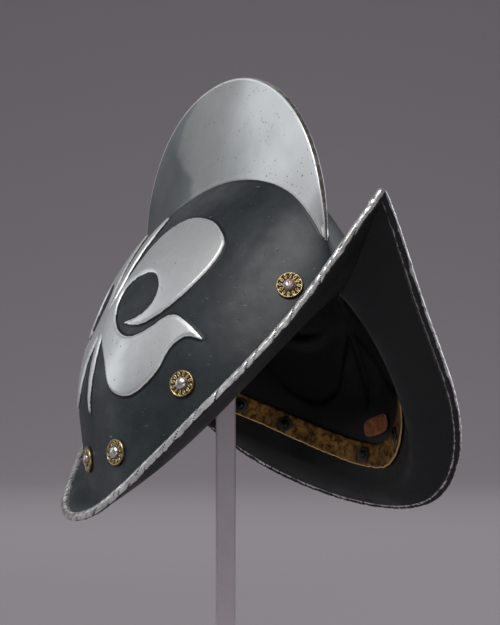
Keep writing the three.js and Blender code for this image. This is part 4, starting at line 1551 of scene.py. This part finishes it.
@dataclass
class Stand:
    """Post and foot of the display stand, in millimetres in the stand's own frame."""

    post_width: float = 12.5
    post_corner: float = 1.8
    post_turn: float = -30
    foot_radius: float = 90
    foot_thickness: float = 10
    gap: float = 0.3

    def build(self, material: bpy.types.Material) -> None:
        """Makes the post and the foot and dresses the crown pad."""
        low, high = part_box("post")
        bottom, top = low[2] / MM, high[2] / MM
        half = self.post_width / 2
        outline = []
        for corner in range(4):
            middle = np.pi / 4 + corner * np.pi / 2
            centre = np.array((np.cos(middle), np.sin(middle))) * (half - self.post_corner) * math.sqrt(2)
            for step in range(9):
                angle = corner * np.pi / 2 + step / 8 * np.pi / 2
                outline.append(centre + self.post_corner * 0.92 * np.array((np.cos(angle), np.sin(angle))))
        flat = np.array(outline)
        turn = math.radians(self.post_turn)
        spin = np.array(((math.cos(turn), math.sin(turn)), (-math.sin(turn), math.cos(turn))))
        flat = flat @ spin
        shaft = np.linspace(bottom + 4, top - 4, 40)
        heights = np.concatenate([[bottom, bottom + 0.4], shaft, [top - 0.4, top]])
        inset = np.ones(len(heights))
        inset[0] = inset[-1] = 0.96
        points = np.stack([
            np.concatenate([flat * share, np.full((len(flat), 1), height)], 1)
            for share, height in zip(inset, heights)
        ])
        count = points.shape[0] * points.shape[1]
        cloud = np.concatenate([points.reshape(-1, 3), [[0, 0, bottom], [0, 0, top]]])
        caps = np.concatenate([
            fan(range(points.shape[1]), count)[:, ::-1],
            fan(range(count - points.shape[1], count), count + 1),
        ])
        piece = Piece("post_painted", cloud * MM, grid_quads(*points.shape[:2]), caps)
        piece.make(material, "grey_paint", "post")
        self.foot(material)
        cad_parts["crown_pad"].material_slots[0].material = material

    def foot(self, material: bpy.types.Material) -> None:
        """Makes the round foot with its eased edges."""
        columns, ease = 160, 1.2
        radius, thick = self.foot_radius, self.foot_thickness
        profile = [(radius * 0.5, 0.0), (radius - ease, 0.0)]
        for share in np.linspace(0, np.pi / 2, 6)[1:]:
            profile.append((radius - ease + ease * math.sin(share), ease * (1 - math.cos(share))))
        for share in np.linspace(0, np.pi / 2, 6):
            profile.append((radius - ease + ease * math.cos(share), thick - ease + ease * math.sin(share)))
        profile.append((radius * 0.5, thick))
        turn = np.arange(columns) / columns * 2 * np.pi
        points = np.stack([
            np.stack([reach * np.cos(turn), reach * np.sin(turn), height + 0 * turn], -1)
            for reach, height in profile
        ])
        count = len(profile) * columns
        cloud = np.concatenate([points.reshape(-1, 3), [[0, 0, 0], [0, 0, thick]]])
        caps = np.concatenate([
            fan(range(columns), count)[:, ::-1],
            fan(range(count - columns, count), count + 1),
        ])
        Piece("foot_painted", cloud * MM, grid_quads(len(profile), columns), caps).make(
            material, "grey_paint", "foot"
        )


@dataclass
class Studio:
    """Floor swept up behind the stand, soft lights and the camera, in metres."""

    camera_place: tuple = (-0.9165, -1.6436, 0.317)
    camera_turn: float = 29.6
    lens: float = 219.57
    sweep_from: float = 3.8
    sweep_radius: float = 2.2

    def floor(self) -> None:
        """Makes the pale floor that curves up into a backdrop."""
        turn = math.radians(self.camera_turn)
        ahead = np.array((math.sin(turn), math.cos(turn)))
        across = np.array((math.cos(turn), -math.sin(turn)))
        start, bow = self.sweep_from, self.sweep_radius
        profile = [(-8.0, 0.0), (start, 0.0)]
        for share in np.linspace(0, np.pi / 2, 32)[1:]:
            profile.append((start + bow * math.sin(share), bow * (1 - math.cos(share))))
        profile.append((start + bow, 7.0))
        points = []
        for reach, height in profile:
            for side in (-9.0, 9.0):
                place = ahead * reach + across * side
                points.append((place[0], place[1], height - 0.0005))
        rows = len(profile)
        faces = [(2 * row, 2 * row + 1, 2 * row + 3, 2 * row + 2) for row in range(rows - 1)]
        mesh = bpy.data.meshes.new("studio_floor")
        mesh.from_pydata(points, [], faces)
        mesh.shade_smooth()
        material = bpy.data.materials.new("pale_paper")
        material.use_nodes = True
        shader = material.node_tree.nodes["Principled BSDF"]
        shader.inputs["Base Color"].default_value = (0.42, 0.39, 0.42, 1)
        shader.inputs["Roughness"].default_value = 0.9
        mesh.materials.append(material)
        obj = bpy.data.objects.new("studio_floor", mesh)
        bpy.context.scene.collection.objects.link(obj)

    def light(
        self,
        name: str,
        place: tuple,
        size: tuple,
        power: float,
        colour: tuple,
        aim: tuple = (0, -0.05, 0.3),
        spread: float = 180,
    ) -> None:
        """Adds one soft area light.

        Args:
            name: the light's name.
            place: where it hangs.
            size: its width and height.
            power: watts.
            colour: its tint.
            aim: the place that it faces.
            spread: opening of its beam in degrees.
        """
        lamp = bpy.data.lights.new(name, "AREA")
        lamp.shape = "RECTANGLE"
        lamp.size, lamp.size_y = size
        lamp.energy = power
        lamp.color = colour
        lamp.spread = math.radians(spread)
        obj = bpy.data.objects.new(name, lamp)
        obj.location = place
        obj.rotation_euler = (Vector(aim) - Vector(place)).to_track_quat("-Z", "Y").to_euler()
        bpy.context.scene.collection.objects.link(obj)

    def build(self) -> None:
        """Makes floor, lights, world and camera."""
        self.floor()
        white, cool = (1, 0.98, 0.96), (0.94, 0.97, 1)
        self.light("key_overhead", (-1.4, -0.9, 2.1), (1.4, 1.4), 40, white)
        self.light("comb_panel", (-1.5, 1.6, 0.9), (1.2, 1.6), 6.5, cool)
        self.light("right_fill", (1.9, 0.3, 0.7), (0.8, 1.4), 8, cool)
        self.light("backdrop_wash", (1.3, 2.3, 1.9), (2.8, 1.2), 21, white, (1.6, 2.8, 0))
        self.light("post_fill", (-0.45, -1.0, 0.1), (0.25, 0.12), 0.03, white, (0, 0, 0.14), 26)
        world = bpy.data.worlds.new("studio")
        world.use_nodes = True
        world.node_tree.nodes["Background"].inputs["Color"].default_value = (0.9, 0.92, 1, 1)
        world.node_tree.nodes["Background"].inputs["Strength"].default_value = 0.14
        bpy.context.scene.world = world
        bpy.context.scene.view_settings.view_transform = "Standard"
        camera = bpy.data.cameras.new("camera")
        camera.lens = self.lens
        camera.sensor_fit = "HORIZONTAL"
        camera.sensor_width = 36
        camera.clip_end = 50
        obj = bpy.data.objects.new("camera", camera)
        obj.location = self.camera_place
        obj.rotation_euler = (math.radians(90), 0, -math.radians(self.camera_turn))
        bpy.context.scene.collection.objects.link(obj)
        bpy.context.scene.camera = obj


def main() -> None:
    """Builds every piece in order and reports it."""
    logging.basicConfig(level=logging.INFO, format="%(message)s")
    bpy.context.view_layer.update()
    skin = Skin()
    outside = PlateFinish("black_paint_bright_lily").material()
    inside = InsideFinish("black_inside").material()
    Plate(skin, Lily()).build(outside, inside)
    Comb(skin).build(CombFinish("comb_steel").material())
    Rim(skin).build(RimFinish("rim_steel").material())
    irons = (
        IronFinish("iron_rusty", rust_share=0.2).material(),
        IronFinish("iron_bright", rust_share=0.0).material(),
        IronFinish("iron_plain", rust_share=0.05).material(),
    )
    dark = WasherFinish("washer_black").material()
    Riveting(skin).build(BrassFinish("old_brass").material(), irons, dark)
    LiningBand(skin).build(LeatherFinish("band_leather").material())
    patch = LeatherFinish(
        "patch_leather", (0.46, 0.17, 0.075, 1), (0.24, 0.085, 0.035, 1), (0.3, 0.12, 0.05, 1)
    )
    Patch(skin).build(patch.material())
    Stand().build(StandFinish("grey_paint").material())
    Studio().build()


if __name__ == "__main__":
    main()
